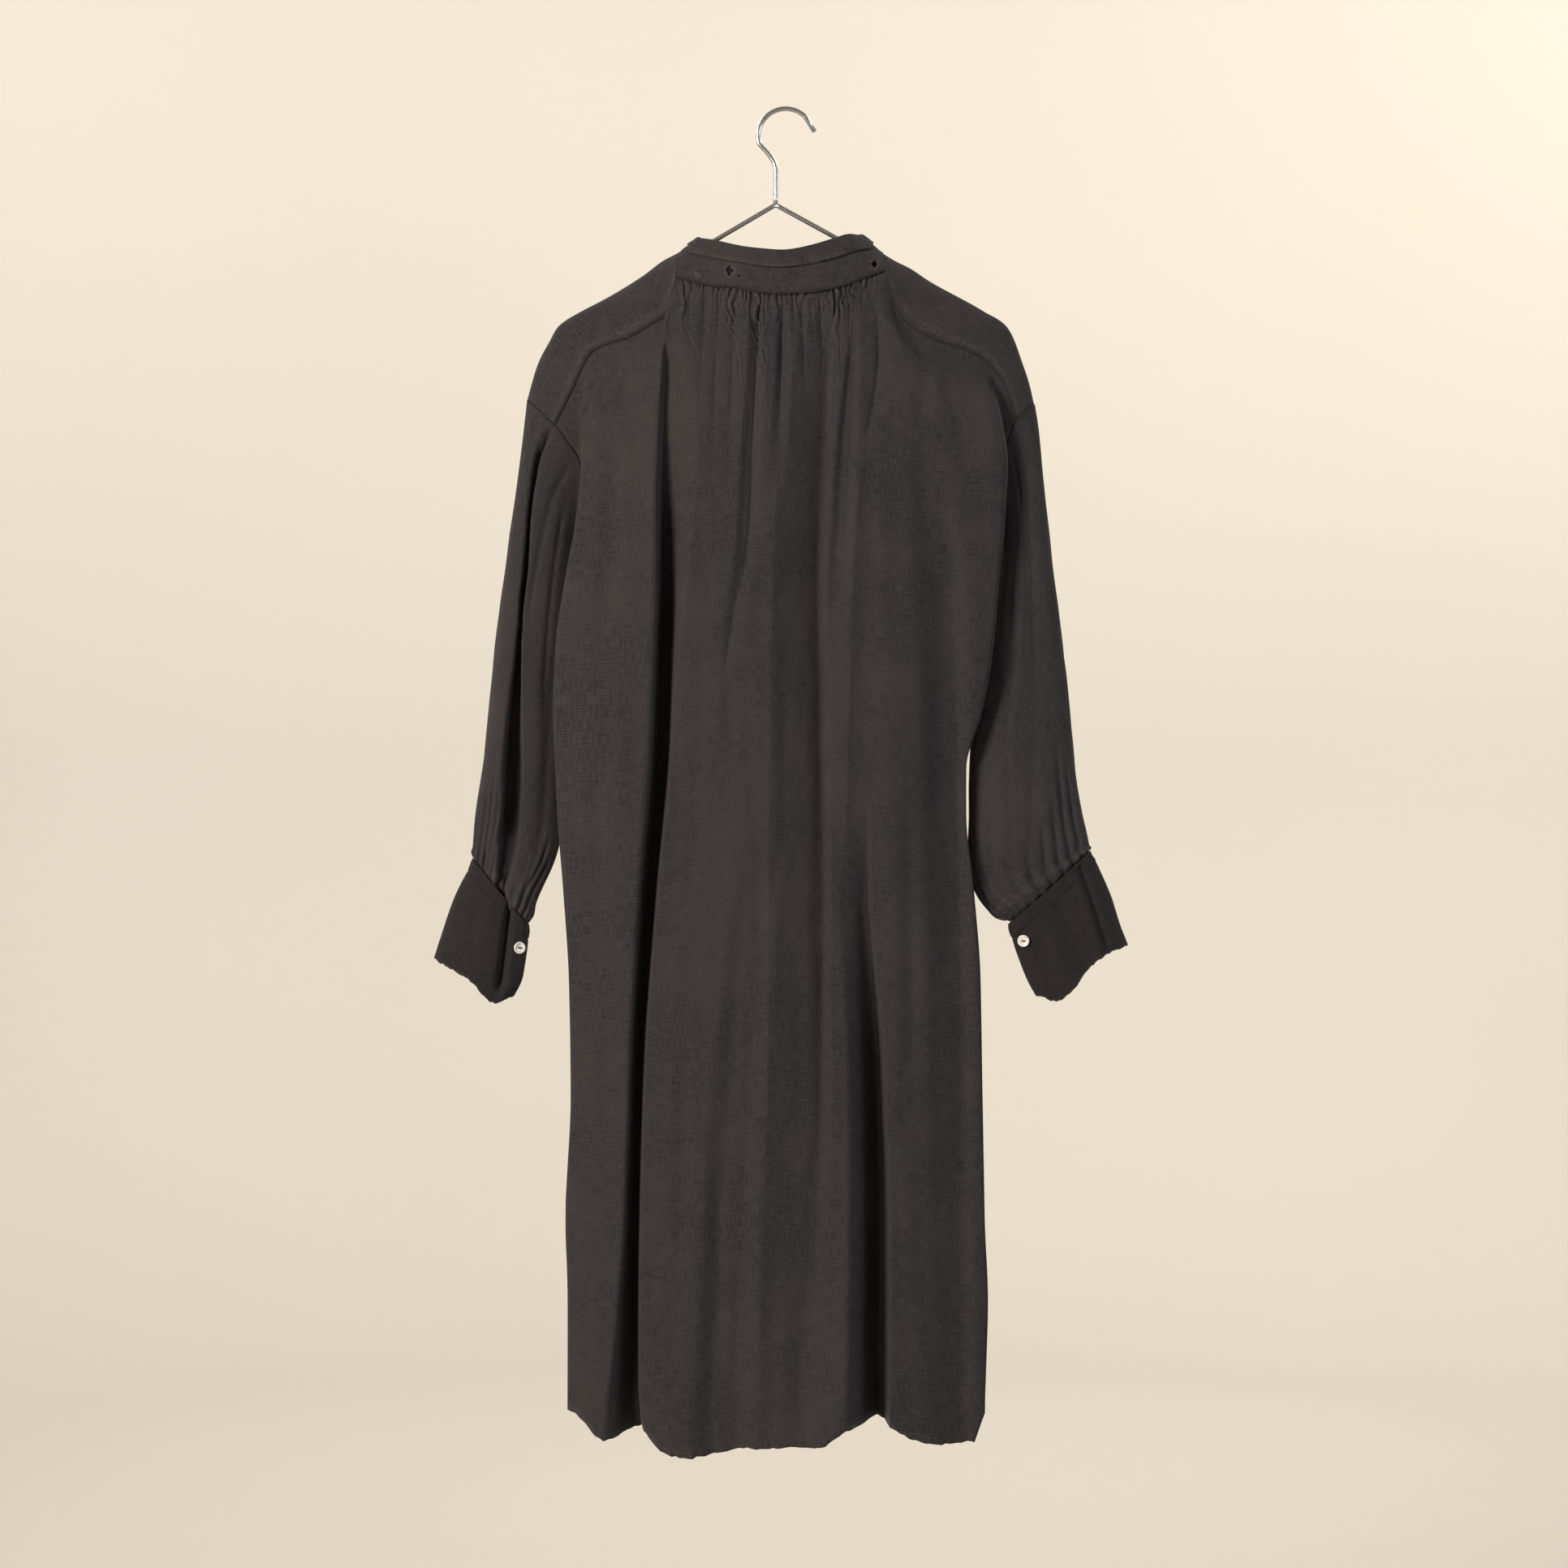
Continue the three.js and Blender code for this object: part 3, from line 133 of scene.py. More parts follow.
softLights = {
    "mainLeft": {"at": (-2.5, -2.4, 0.35), "to": (0, 0, -0.65), "size": 1.1, "watts": 156, "colour": "#fff1e8"},
    "fillRight": {"at": (3.0, -1.9, 0.1), "to": (0, 0, -0.65), "size": 1.2, "watts": 38, "colour": "#d8e4ff"},
    "wallLeft": {"at": (-2.2, 1.2, 1.6), "to": (0.6, 4.5, 0.15), "size": 1.2, "watts": 117, "colour": "#fcf6e8"},
    "wallRight": {"at": (2.2, 1.2, 1.6), "to": (-0.2, 4.5, 0.15), "size": 1.2, "watts": 168, "colour": "#fcf6e8"},
}


def makeLights():
    world = bpy.data.worlds.new("studioAir")
    world.use_nodes = True
    air = world.node_tree.nodes["Background"]
    air.inputs["Color"].default_value = toLinear("#ffffff")
    air.inputs["Strength"].default_value = 0.06
    scene.world = world
    for name, setting in softLights.items():
        light = bpy.data.lights.new(name, "AREA")
        light.shape = "SQUARE"
        light.size = setting["size"]
        light.energy = setting["watts"]
        light.color = toLinear(setting["colour"])[:3]
        lamp = bpy.data.objects.new(name, light)
        lamp.location = setting["at"]
        aim = Vector(setting["to"]) - lamp.location
        lamp.rotation_euler = aim.to_track_quat("-Z", "Y").to_euler()
        lamp.visible_camera = False
        scene.collection.objects.link(lamp)


makeStage()
makeLights()
print("stage, camera and lights")


# ---- shapes from tables

def table(columns, rows):
    return dict(zip(columns, np.array(rows, float).T))


def smooth(t):
    c = np.clip(t, 0, 1)
    return c * c * (3 - 2 * c)


def lerp(a, b, t):
    return a + (b - a) * t


def along(rows, key, column):  # a smooth function through one column of a table against another
    order = np.argsort(rows[key])
    x, y = rows[key][order], rows[column][order]
    step = np.diff(y) / np.diff(x)
    before, after = np.append(0.0, step), np.append(step, 0.0)
    both = before * after
    slope = np.where(both > 0, 2 * both / np.where(both > 0, before + after, 1), 0)

    def read(at):
        at = np.clip(at, x[0], x[-1])
        i = np.clip(np.searchsorted(x, at, side="right") - 1, 0, len(x) - 2)
        h = x[i + 1] - x[i]
        t = (at - x[i]) / h
        bend = y[i] * (1 + 2 * t) * (1 - t) ** 2 + y[i + 1] * t * t * (3 - 2 * t)
        return bend + h * (slope[i] * t * (1 - t) ** 2 - slope[i + 1] * t * t * (1 - t))

    return read


def spline(values, at, ring=False):  # through rows of values, at places counted in rows
    values = np.asarray(values, float)
    n = len(values)
    if ring:
        full = np.concatenate([values[-1:], values, values[:2]])
    else:
        full = np.concatenate([2 * values[:1] - values[1:2], values, 2 * values[-1:] - values[-2:-1]])
    at = np.asarray(at, float)
    i = np.clip(np.floor(at).astype(int), 0, n - (1 if ring else 2))
    s = (at - i).reshape((-1,) + (1,) * (values.ndim - 1))
    a, b, c, d = full[i], full[i + 1], full[i + 2], full[i + 3]
    return 0.5 * (2 * b + (c - a) * s + (2 * a - 5 * b + 4 * c - d) * s**2 + (3 * b - a - 3 * c + d) * s**3)


def denser(grid, rows, columns, ring=False):  # a smooth fine grid through a coarse one
    return spline(spline(grid, rows).transpose(1, 0, 2), columns, ring).transpose(1, 0, 2)


def unevenness(x, y, cellX, cellY, seed):  # soft seeded noise from -1 to 1, with its own cell size
    rng = np.random.default_rng(seed)
    lattice = rng.uniform(-1, 1, (64, 64))
    u, v = np.asarray(x) / cellX + 400, np.asarray(y) / cellY + 400
    i, j = np.floor(u).astype(int), np.floor(v).astype(int)
    a, b = smooth(u - i), smooth(v - j)
    at = lambda di, dj: lattice[(i + di) % 64, (j + dj) % 64]
    return lerp(lerp(at(0, 0), at(1, 0), a), lerp(at(0, 1), at(1, 1), a), b)


def rumpled(x, y, rows):  # each row: height, the rumple's width and length, and its seed
    return sum(height * unevenness(x, y, wide, long, seed) for height, wide, long, seed in rows)


# ---- cloth as a thin shell

shellThickness = 0.9


def laceRows(sizes, places, ring):  # faces between neighbouring rows, of like or unlike length
    starts = np.concatenate([[0], np.cumsum(sizes)])
    quads, threes = [], []
    for r in range(len(sizes) - 1):
        n, m = sizes[r], sizes[r + 1]
        a0, b0 = starts[r], starts[r + 1]
        if n == m:
            i = np.arange(n if ring else n - 1)
            k = (i + 1) % n
            quads.append(np.stack([a0 + i, b0 + i, b0 + k, a0 + k], 1))
            continue
        i = j = 0
        while i < n - 1 or j < m - 1:
            if j >= m - 1 or (i < n - 1 and places[r][i + 1] <= places[r + 1][j + 1] + 1e-9):
                threes.append((a0 + i, b0 + j, a0 + i + 1))
                i += 1
            else:
                threes.append((a0 + i, b0 + j, b0 + j + 1))
                j += 1
    quads = np.concatenate(quads) if quads else np.zeros((0, 4), int)
    return quads, np.array(threes, int).reshape(-1, 3)


def vertexNormals(points, quads, threes):
    normals = np.zeros_like(points)
    if len(quads):
        p = points[quads]
        face = np.cross(p[:, 2] - p[:, 0], p[:, 3] - p[:, 1])
        for k in range(4):
            np.add.at(normals, quads[:, k], face)
    if len(threes):
        p = points[threes]
        face = np.cross(p[:, 1] - p[:, 0], p[:, 2] - p[:, 0])
        for k in range(3):
            np.add.at(normals, threes[:, k], face)
    return normals / np.maximum(np.linalg.norm(normals, axis=1, keepdims=True), 1e-9)


def meshObject(name, points, faces, material, uv=None, wearAndShade=None):
    mesh = bpy.data.meshes.new(name)
    mesh.from_pydata((np.asarray(points) * millimetre).tolist(), [], faces)
    mesh.polygons.foreach_set("use_smooth", [True] * len(mesh.polygons))
    if uv is not None:
        corners = np.zeros(len(mesh.loops), int)
        mesh.loops.foreach_get("vertex_index", corners)
        layer = mesh.uv_layers.new(name="clothLengths")
        layer.data.foreach_set("uv", np.asarray(uv)[corners].ravel())
    if wearAndShade is not None:
        layer = mesh.attributes.new("wearAndShade", "FLOAT", "POINT")
        layer.data.foreach_set("value", np.asarray(wearAndShade, float))
    mesh.materials.append(material)
    piece = bpy.data.objects.new(name, mesh)
    scene.collection.objects.link(piece)
    return piece


def clothPiece(
    name, rows, uvRows, material, places=None, ring=False, wearAndShade=None, skip=None, thickness=shellThickness
):
    sizes = [len(row) for row in rows]
    points = np.concatenate(rows)
    quads, threes = laceRows(sizes, places, ring)
    if skip is not None:  # quads that a rip or slit takes out
        quads = quads[~skip(points[quads].mean(axis=1))]
    normals = vertexNormals(points, quads, threes)
    n = len(points)
    shell = np.concatenate([points + normals * thickness / 2, points - normals * thickness / 2])
    faces = quads.tolist() + threes.tolist()
    inner = (quads[:, ::-1] + n).tolist() + (threes[:, ::-1] + n).tolist()
    edges = np.concatenate(
        [quads[:, [k, (k + 1) % 4]] for k in range(4)] + [threes[:, [k, (k + 1) % 3]] for k in range(3)]
    )
    key = edges[:, 0] * n + edges[:, 1]
    back = edges[:, 1] * n + edges[:, 0]
    rim = edges[~np.isin(key, back)]
    sides = np.stack([rim[:, 1], rim[:, 0], rim[:, 0] + n, rim[:, 1] + n], 1).tolist()
    uv = np.concatenate(uvRows)
    wornAndShaded = np.zeros(n) if wearAndShade is None else np.concatenate(wearAndShade)
    piece = meshObject(
        name, shell, faces + inner + sides, material, np.concatenate([uv, uv]), np.concatenate([wornAndShaded, wornAndShaded])
    )
    used = np.unique(quads) if len(threes) == 0 else np.unique(np.concatenate([quads.ravel(), threes.ravel()]))
    if len(used) < n:  # drop what a rip left loose
        loose = np.setdiff1d(np.arange(n), used)
        bm = bmesh.new()
        bm.from_mesh(piece.data)
        bm.verts.ensure_lookup_table()
        gone = [bm.verts[i + layer * n] for layer in (0, 1) for i in loose]
        bmesh.ops.delete(bm, geom=gone, context="VERTS")
        bm.to_mesh(piece.data)
        bm.free()
    return piece


def gridLengths(grid):  # cloth lengths in metres along rows and columns of a grid, for its weave
    across = np.linalg.norm(np.diff(grid, axis=1), axis=2)
    down = np.linalg.norm(np.diff(grid, axis=0), axis=2)
    u = np.concatenate([[0], np.cumsum(across.max(axis=0))])
    v = np.concatenate([[0], np.cumsum(down.mean(axis=1))])
    return np.stack(np.meshgrid(u, v), axis=2) * millimetre


# ---- materials

clothLook = {
    "thread": 1.1,  # mm between drawn threads; the real 0.5 mm would not show at this distance
    "slub": 13.0,  # mm, the length of a thick place in a thread
    "patch": 90.0,  # mm, soft cloudy changes of tone
}


def linenCloth(name, deep, faded, warm):
    # Flax yarn, plain woven, dyed near black and washed out: dull, with thick and thin threads
    # that catch the light, and paler where folds and seams have rubbed. Negative values of the
    # per-point attribute are painted shade: they darken the cloth toward near black in deep folds,
    # along seams and on the ply behind the rips.
    material, tree = newMaterial(name)
    lengths = addNode(tree, "ShaderNodeUVMap", {"uv_map": "clothLengths"})
    place = addNode(tree, "ShaderNodeTexCoord")
    perMetre = 1000 / clothLook["thread"]
    slubs = []
    for downScale, acrossScale in ((1000 / clothLook["slub"], perMetre), (perMetre, 1000 / clothLook["slub"])):
        stretched = addNode(
            tree, "ShaderNodeMapping", {"Scale": (acrossScale, downScale, 1)}, {"Vector": lengths.outputs[0]}
        )
        slubs.append(addNode(
            tree, "ShaderNodeTexNoise",
            {"Scale": 1.0, "Detail": 3.0, "Roughness": 0.6}, {"Vector": stretched.outputs[0]},
        ))
    weave = addNode(
        tree, "ShaderNodeMath", {"operation": "ADD"}, {0: slubs[0].outputs[0], 1: slubs[1].outputs[0]}
    )
    cloudy = addNode(
        tree, "ShaderNodeTexNoise", {"Scale": 1000 / clothLook["patch"], "Detail": 4.0, "Roughness": 0.6},
        {"Vector": place.outputs["Object"]},
    )
    threadTone = addNode(
        tree, "ShaderNodeMapRange",
        {"From Min": 0.8, "From Max": 1.2, "To Min": 0.0, "To Max": 1.0}, {"Value": weave.outputs[0]},
    )
    base = addNode(
        tree, "ShaderNodeMix", {"data_type": "RGBA", 6: toLinear(deep), 7: toLinear(faded)},
        {0: threadTone.outputs[0]},
    )
    patchTone = addNode(
        tree, "ShaderNodeMapRange",
        {"From Min": 0.4, "From Max": 0.66, "To Min": 0.0, "To Max": 0.6}, {"Value": cloudy.outputs[0]},
    )
    patched = addNode(
        tree, "ShaderNodeMix", {"data_type": "RGBA", 7: toLinear(warm)},
        {0: patchTone.outputs[0], 6: base.outputs[2]},
    )
    wearAndShade = addNode(tree, "ShaderNodeAttribute", {"attribute_name": "wearAndShade"})
    rubbed = addNode(
        tree, "ShaderNodeMath", {"operation": "MULTIPLY", "use_clamp": True},
        {0: wearAndShade.outputs["Fac"], 1: threadTone.outputs[0]},
    )
    wornAndShaded = addNode(
        tree, "ShaderNodeMix", {"data_type": "RGBA", 7: toLinear("#6f675f")},
        {0: rubbed.outputs[0], 6: patched.outputs[2]},
    )
    # Painted shade: negative attribute values mix the colour toward near black.
    paintedShadeAmount = addNode(
        tree, "ShaderNodeMath", {"operation": "MULTIPLY", "use_clamp": True, 1: -1.0}, {0: wearAndShade.outputs["Fac"]}
    )
    shaded = addNode(
        tree, "ShaderNodeMix", {"data_type": "RGBA", 7: toLinear("#0d0b0b")},
        {0: paintedShadeAmount.outputs[0], 6: wornAndShaded.outputs[2]},
    )
    lint = addNode(
        tree, "ShaderNodeTexVoronoi", {"feature": "F1", "Scale": 60.0, "Randomness": 1.0},
        {"Vector": place.outputs["Object"]},
    )
    speck = addNode(
        tree, "ShaderNodeMapRange",
        {"From Min": 0.016, "From Max": 0.03, "To Min": 0.3, "To Max": 0.0}, {"Value": lint.outputs["Distance"]},
    )
    flecked = addNode(
        tree, "ShaderNodeMix", {"data_type": "RGBA", 7: toLinear("#a39b8f")},
        {0: speck.outputs[0], 6: shaded.outputs[2]},
    )
    relief = addNode(
        tree, "ShaderNodeBump", {"Strength": 0.3, "Distance": 0.0006}, {"Height": weave.outputs[0]}
    )
    cloth = addNode(
        tree, "ShaderNodeBsdfPrincipled",
        {"Roughness": 0.88, "IOR": 1.5, "Specular IOR Level": 0.2, "Sheen Weight": 0.05, "Sheen Roughness": 0.5},
        {"Base Color": flecked.outputs[2], "Normal": relief.outputs[0]},
    )
    finishMaterial(tree, cloth)
    return material


def pearlShell():
    # Mother of pearl, sawn and polished: pale, cloudy and softly glossy.
    material, tree = newMaterial("polishedPearlShell")
    place = addNode(tree, "ShaderNodeTexCoord")
    cloud = addNode(
        tree, "ShaderNodeTexNoise", {"Scale": 260.0, "Detail": 3.0}, {"Vector": place.outputs["Object"]}
    )
    tint = addNode(
        tree, "ShaderNodeMix", {"data_type": "RGBA", 6: toLinear("#c9c4ba"), 7: toLinear("#f1efe8")},
        {0: cloud.outputs[0]},
    )
    shell = addNode(
        tree, "ShaderNodeBsdfPrincipled",
        {"Roughness": 0.24, "IOR": 1.53, "Coat Weight": 0.4, "Coat Roughness": 0.1},
        {"Base Color": tint.outputs[2]},
    )
    finishMaterial(tree, shell)
    return material


def platedWire():
    # Drawn steel wire with bright zinc plating: grey, finely streaked along its length.
    material, tree = newMaterial("platedSteelWire")
    place = addNode(tree, "ShaderNodeTexCoord")
    streaks = addNode(
        tree, "ShaderNodeTexNoise", {"Scale": 420.0, "Detail": 2.0}, {"Vector": place.outputs["Object"]}
    )
    dulled = addNode(
        tree, "ShaderNodeMapRange", {"To Min": 0.16, "To Max": 0.34}, {"Value": streaks.outputs[0]}
    )
    metal = addNode(
        tree, "ShaderNodeBsdfPrincipled",
        {"Base Color": toLinear("#c6c7c8"), "Metallic": 1.0}, {"Roughness": dulled.outputs[0]},
    )
    finishMaterial(tree, metal)
    return material


def sewingThread():
    # Twisted cotton thread, dark and dull.
    material, tree = newMaterial("darkCottonThread")
    place = addNode(tree, "ShaderNodeTexCoord")
    twist = addNode(
        tree, "ShaderNodeTexNoise", {"Scale": 900.0}, {"Vector": place.outputs["Object"]}
    )
    tint = addNode(
        tree, "ShaderNodeMix", {"data_type": "RGBA", 6: toLinear("#1c1918"), 7: toLinear("#3a3431")},
        {0: twist.outputs[0]},
    )
    thread = addNode(
        tree, "ShaderNodeBsdfPrincipled", {"Roughness": 0.8}, {"Base Color": tint.outputs[2]}
    )
    finishMaterial(tree, thread)
    return material


bodyLinen = linenCloth("washedCharcoalLinen", "#232122", "#373536", "#393534")
cuffLinen = linenCloth("darkCuffLinen", "#1a1818", "#292626", "#252221")
pearl = pearlShell()
wire = platedWire()
thread = sewingThread()
print("materials")

# ---- the body's outline and seams

bodyOutline = table(
    ["z", "left", "right", "seamLeft", "seamRight", "depth"],
    [
        [-181, -190, 190, -221, 221, 32],
        [-240, -190, 192, -221, 221, 37],
        [-302, -194, 206, -221, 221, 41],
        [-340, -195, 211, -197, 205, 42],
        [-403, -201, 208, -192, 192, 43],
        [-441, -208, 204, -188, 187, 44],
        [-520, -219, 197, -195, 177, 44],
        [-580, -221, 186, -199, 170, 44],
        [-630, -219, 172, -200, 163, 44],
        [-673, -217, 172, -201, 163, 44],
        [-750, -211, 179, -200, 170, 44],
        [-828, -206, 185, -198, 177, 44],
        [-944, -204, 187, -197, 180, 45],
        [-1060, -209, 189, -202, 183, 45],
        [-1137, -207, 192, -200, 185, 46],
        [-1262, -207, 189, -200, 183, 46],
    ],
)
leftFold = along(bodyOutline, "z", "left")
rightFold = along(bodyOutline, "z", "right")
backDepth = along(bodyOutline, "z", "depth")
sideSeamY = 5.0

hem = table(
    ["x", "z"],
    [
        [-207, -1241], [-194, -1249], [-172, -1270], [-150, -1271], [-138, -1255], [-116, -1278],
        [-92, -1283], [-62, -1278], [-35, -1274], [34, -1273], [53, -1259], [82, -1250],
        [96, -1254], [121, -1267], [154, -1273], [180, -1271], [192, -1240],
    ],
)
hemAt = along(hem, "x", "z")
foldRow = 6
underarmZ = -403.0
armholeRows = 7
yokeStations = np.array([0, 0.8, 1.6, 2.3, 3, 3.5, 4.2, 5, foldRow, 6.67, 7.33, 8])
foldStation = 8
archStops = np.array([0, 0.2, 0.4, 0.5, 0.6, 0.8, 1])


class Side:
    def __init__(self, sign, yokeBack, ridge, frontAtNeck, frontAtArm, armBack, armFront, seam):
        self.sign = sign
        self.yokeBack = np.array(yokeBack, float)
        self.ridge = np.array([[x, 0, z] for x, z in ridge], float)
        self.frontShift = np.array([frontAtNeck, frontAtArm], float)
        back = table(["z", "x", "y"], armBack)
        front = table(["z", "x", "y"], armFront)
        self.joinZ = {"back": armBack[0][0], "front": armFront[0][0]}
        self.armX = {"back": along(back, "z", "x"), "front": along(front, "z", "x")}
        self.armY = {"back": along(back, "z", "y"), "front": along(front, "z", "y")}
        self.seam = along(bodyOutline, "z", seam)
        fine = np.linspace(0, 8, 321)
        path = self.seamPoint(fine)
        length = np.concatenate([[0], np.cumsum(np.linalg.norm(np.diff(path, axis=0), axis=1))])
        self.shareAt = lambda k: np.interp(k, fine, length / length[-1])
        ridgeFine = spline(self.ridge, fine)
        run = np.concatenate([[0], np.cumsum(np.linalg.norm(np.diff(ridgeFine, axis=0), axis=1))])
        self.ridgeAt = lambda share: spline(self.ridge, np.interp(share, run / run[-1], fine))

    def seamPoint(self, k):
        return spline(self.yokeBack, np.atleast_1d(k))

    def frontSeamPoint(self, k):
        k = np.atleast_1d(np.asarray(k, float))
        shift = lerp(self.frontShift[0], self.frontShift[1], (k / 8)[:, None])
        shift[:, 1] += 3 * np.sin(np.pi * k / 8)
        return self.seamPoint(k) + shift

    def arch(self, k, t):  # over the shoulder at seam place k, from back seam 0 to front seam 1
        back, front = self.seamPoint(k)[0], self.frontSeamPoint(k)[0]
        return archOver(back, self.ridgeAt(self.shareAt(np.atleast_1d(k)))[0], front, t)


def archOver(back, ridge, front, t):
    t = np.atleast_1d(t)[:, None]
    return lerp(back, front, t) + (ridge - (back + front) / 2) * (1 - np.abs(2 * t - 1) ** 2.3)


sides = {
    "left": Side(
        -1,
        [[-104, -22, -163], [-108, -22, -181], [-113, -20.5, -198], [-127, -19, -207], [-149, -18, -220],
         [-177, -16, -229], [-190, -15, -240], [-204, -13, -269], [-221, -11, -302]],
        [[-101, -136.6], [-120, -146.5], [-141, -162], [-169, -179], [-196, -193], [-217, -206],
         [-227, -222], [-238, -245], [-248, -278]],
        [5, 38, -5], [-5, 27, -2],
        [
            [-302, -221, -11], [-316, -210, -10], [-332, -199, -7], [-354, -193, -3], [-381, -191, 2],
            [-403, -192, 5],
        ],
        [[-304, -226, 16], [-326, -215, 17], [-351, -204, 15], [-379, -196, 11], [-403, -192, 5]],
        "seamLeft",
    ),
    "right": Side(
        1,
        [[94, -22, -157], [99, -22, -176], [106, -21, -194], [120, -19.5, -210], [144, -18, -223],
         [170, -16, -231], [192, -14, -243], [208, -13, -262], [221, -11, -296]],
        [[91, -136.5], [105, -145], [120, -153], [137, -164], [164, -179], [190, -193],
         [213, -209], [228, -245], [239, -283]],
        [-4, 38, -6], [1, 27, -10],
        [
            [-296, 221, -11], [-312, 214, -10], [-331, 207, -5], [-354, 199, -1], [-381, 193, 3],
            [-403, 192, 5],
        ],
        [[-306, 222, 16], [-328, 214, 17], [-351, 204, 15], [-379, 196, 11], [-403, 192, 5]],
        "seamRight",
    ),
}

neckBack = table(
    ["x", "y", "z", "topX", "topY", "topZ"],
    [
        [-104, -22, -163, -83, -12, -129],
        [-74, -27, -172, -67, -19, -133],
        [-46, -30, -175, -44, -24, -139],
        [-25, -31, -180, -24, -26, -142],
        [0, -31, -181, 0, -27, -143.5],
        [28, -31, -179, 24, -26, -139],
        [54, -29, -173, 46, -23, -132],
        [76, -26, -164, 60, -19, -127],
        [94, -22, -157, 71, -12, -126],
    ],
)
neckFront = table(
    ["x", "y", "z", "topX", "topY", "topZ"],
    [
        [-99, 16, -168, -80, 12, -137],
        [-84, 20, -181, -70, 17, -148],
        [-52, 24, -198, -44, 21, -162],
        [-26, 26, -208, -22, 23, -171],
        [0, 26, -212, 0, 24, -175],
        [26, 26, -208, 22, 23, -171],
        [50, 24, -197, 42, 21, -161],
        [78, 20, -177, 64, 17, -146],
        [90, 16, -163, 72, 12, -135],
    ],
)
neckRidge = {"left": (-86, 0, -127.5), "right": (77, 0, -125.5)}
frontOpening = 3.4


def neckPoints(rows, top):
    names = ("topX", "topY", "topZ") if top else ("x", "y", "z")
    return np.stack([rows[name] for name in names], axis=1)


def neckLoop(top):  # from the front opening by the left side, round the back and to it again
    back, front = neckPoints(neckBack, top), neckPoints(neckFront, top)
    gap = frontOpening / (2 * neckFront["x"][-1])
    stretch = lambda curve, a, b, n: spline(curve, np.linspace(a, b, n) * 8)

    def overSide(name):
        end = 0 if name == "left" else -1
        if top:
            return lambda t: archOver(back[end], np.array(neckRidge[name], float), front[end], t)
        return lambda t: sides[name].arch(0, t)

    inner = np.linspace(0, 1, 22)[1:-1]
    return np.concatenate([
        stretch(front, 0.5 - gap, 0, 60),
        overSide("left")(inner[::-1]),
        stretch(back, 0, 1, 200),
        overSide("right")(inner),
        stretch(front, 1, 0.5 + gap, 60),
    ])


seamLoop, topLoop = neckLoop(False), neckLoop(True)

# ---- folds

foldColumns = ["z", "x", "depth", "half", "wallLeft", "wallRight"]
backFolds = {
    "leftDeep": [
        [-163, -98, 0, 3, 4, 4], [-211, -110, 5, 2, 4, 10], [-250, -112, 8, 2, 4, 20],
        [-304, -114, 11, 2, 5, 30], [-365, -115, 17, 3, 5, 28], [-442, -115, 26, 3, 5, 20],
        [-520, -116, 32, 4, 5, 12], [-596, -117, 32, 5, 6, 6], [-750, -128, 32, 3.5, 8, 4],
        [-842, -135, 32, 3, 7, 4], [-903, -138.5, 32, 2.5, 7, 4], [-1057, -142.5, 31, 2, 9, 4],
        [-1150, -143.5, 31, 2, 15, 4], [-1211, -143.5, 31, 2, 22, 4], [-1284, -140, 31, 3, 30, 5],
    ],
    "middle": [
        [-183, 38, 1, 2, 6, 4], [-234, 39, 7, 2, 26, 5], [-334, 35.5, 14, 2, 40, 5],
        [-457, 31, 17, 2, 41, 5], [-557, 32.5, 17, 2, 45, 6], [-712, 34, 16, 2, 48, 6],
        [-903, 33, 13, 2, 48, 8], [-1057, 27, 10, 3, 44, 12], [-1284, 16, 6, 4, 38, 16],
    ],
    "rightDeep": [
        [-181, 62, 0, 3, 4, 4], [-657, 74, 0, 2, 12, 4], [-700, 75, 4, 2, 20, 4],
        [-750, 76, 10, 2, 24, 4], [-827, 82, 19, 2, 26, 4], [-903, 88, 28, 2, 29, 4],
        [-1057, 92, 34, 3, 30, 4], [-1284, 91, 35, 4, 30, 4],
    ],
    "rightFan": [
        [-200, 66, 1, 1, 4, 4], [-260, 62, 4, 2, 6, 6], [-334, 57, 5, 3, 8, 8],
        [-427, 52, 3, 3, 9, 9], [-520, 47, 0, 3, 9, 9],
    ],
    "rightSoft": [
        [-300, 136, 0, 3, 24, 18], [-442, 150, 8, 3, 30, 18], [-557, 158, 12, 3, 34, 16],
        [-700, 160, 12, 3, 34, 14], [-903, 164, 5, 3, 30, 14],
    ],
    "centre": [
        [-183, -2, 2, 1, 5, 5], [-242, -2, 4, 1, 7, 7], [-304, -5, 3, 1, 9, 9], [-380, -8, 0, 1, 9, 9],
    ],
    "centreLeft": [
        [-183, -28, 2, 1, 5, 5], [-242, -29, 4, 1, 8, 8], [-334, -33, 4, 2, 9, 9],
        [-427, -39, 3, 2, 9, 9], [-527, -52, 0, 2, 9, 9],
    ],
    "leftSoft": [
        [-300, -162, 0, 2, 10, 10], [-404, -166, 4, 2, 12, 12], [-473, -169, 3, 2, 12, 12],
        [-560, -175, 0, 2, 12, 12],
    ],
    "lowerLeft": [
        [-673, -24, 0, 6, 20, 20], [-788, -33, 4, 6, 20, 20], [-1019, -49, 6, 8, 22, 22],
        [-1284, -60, 8, 8, 24, 24],
    ],
}
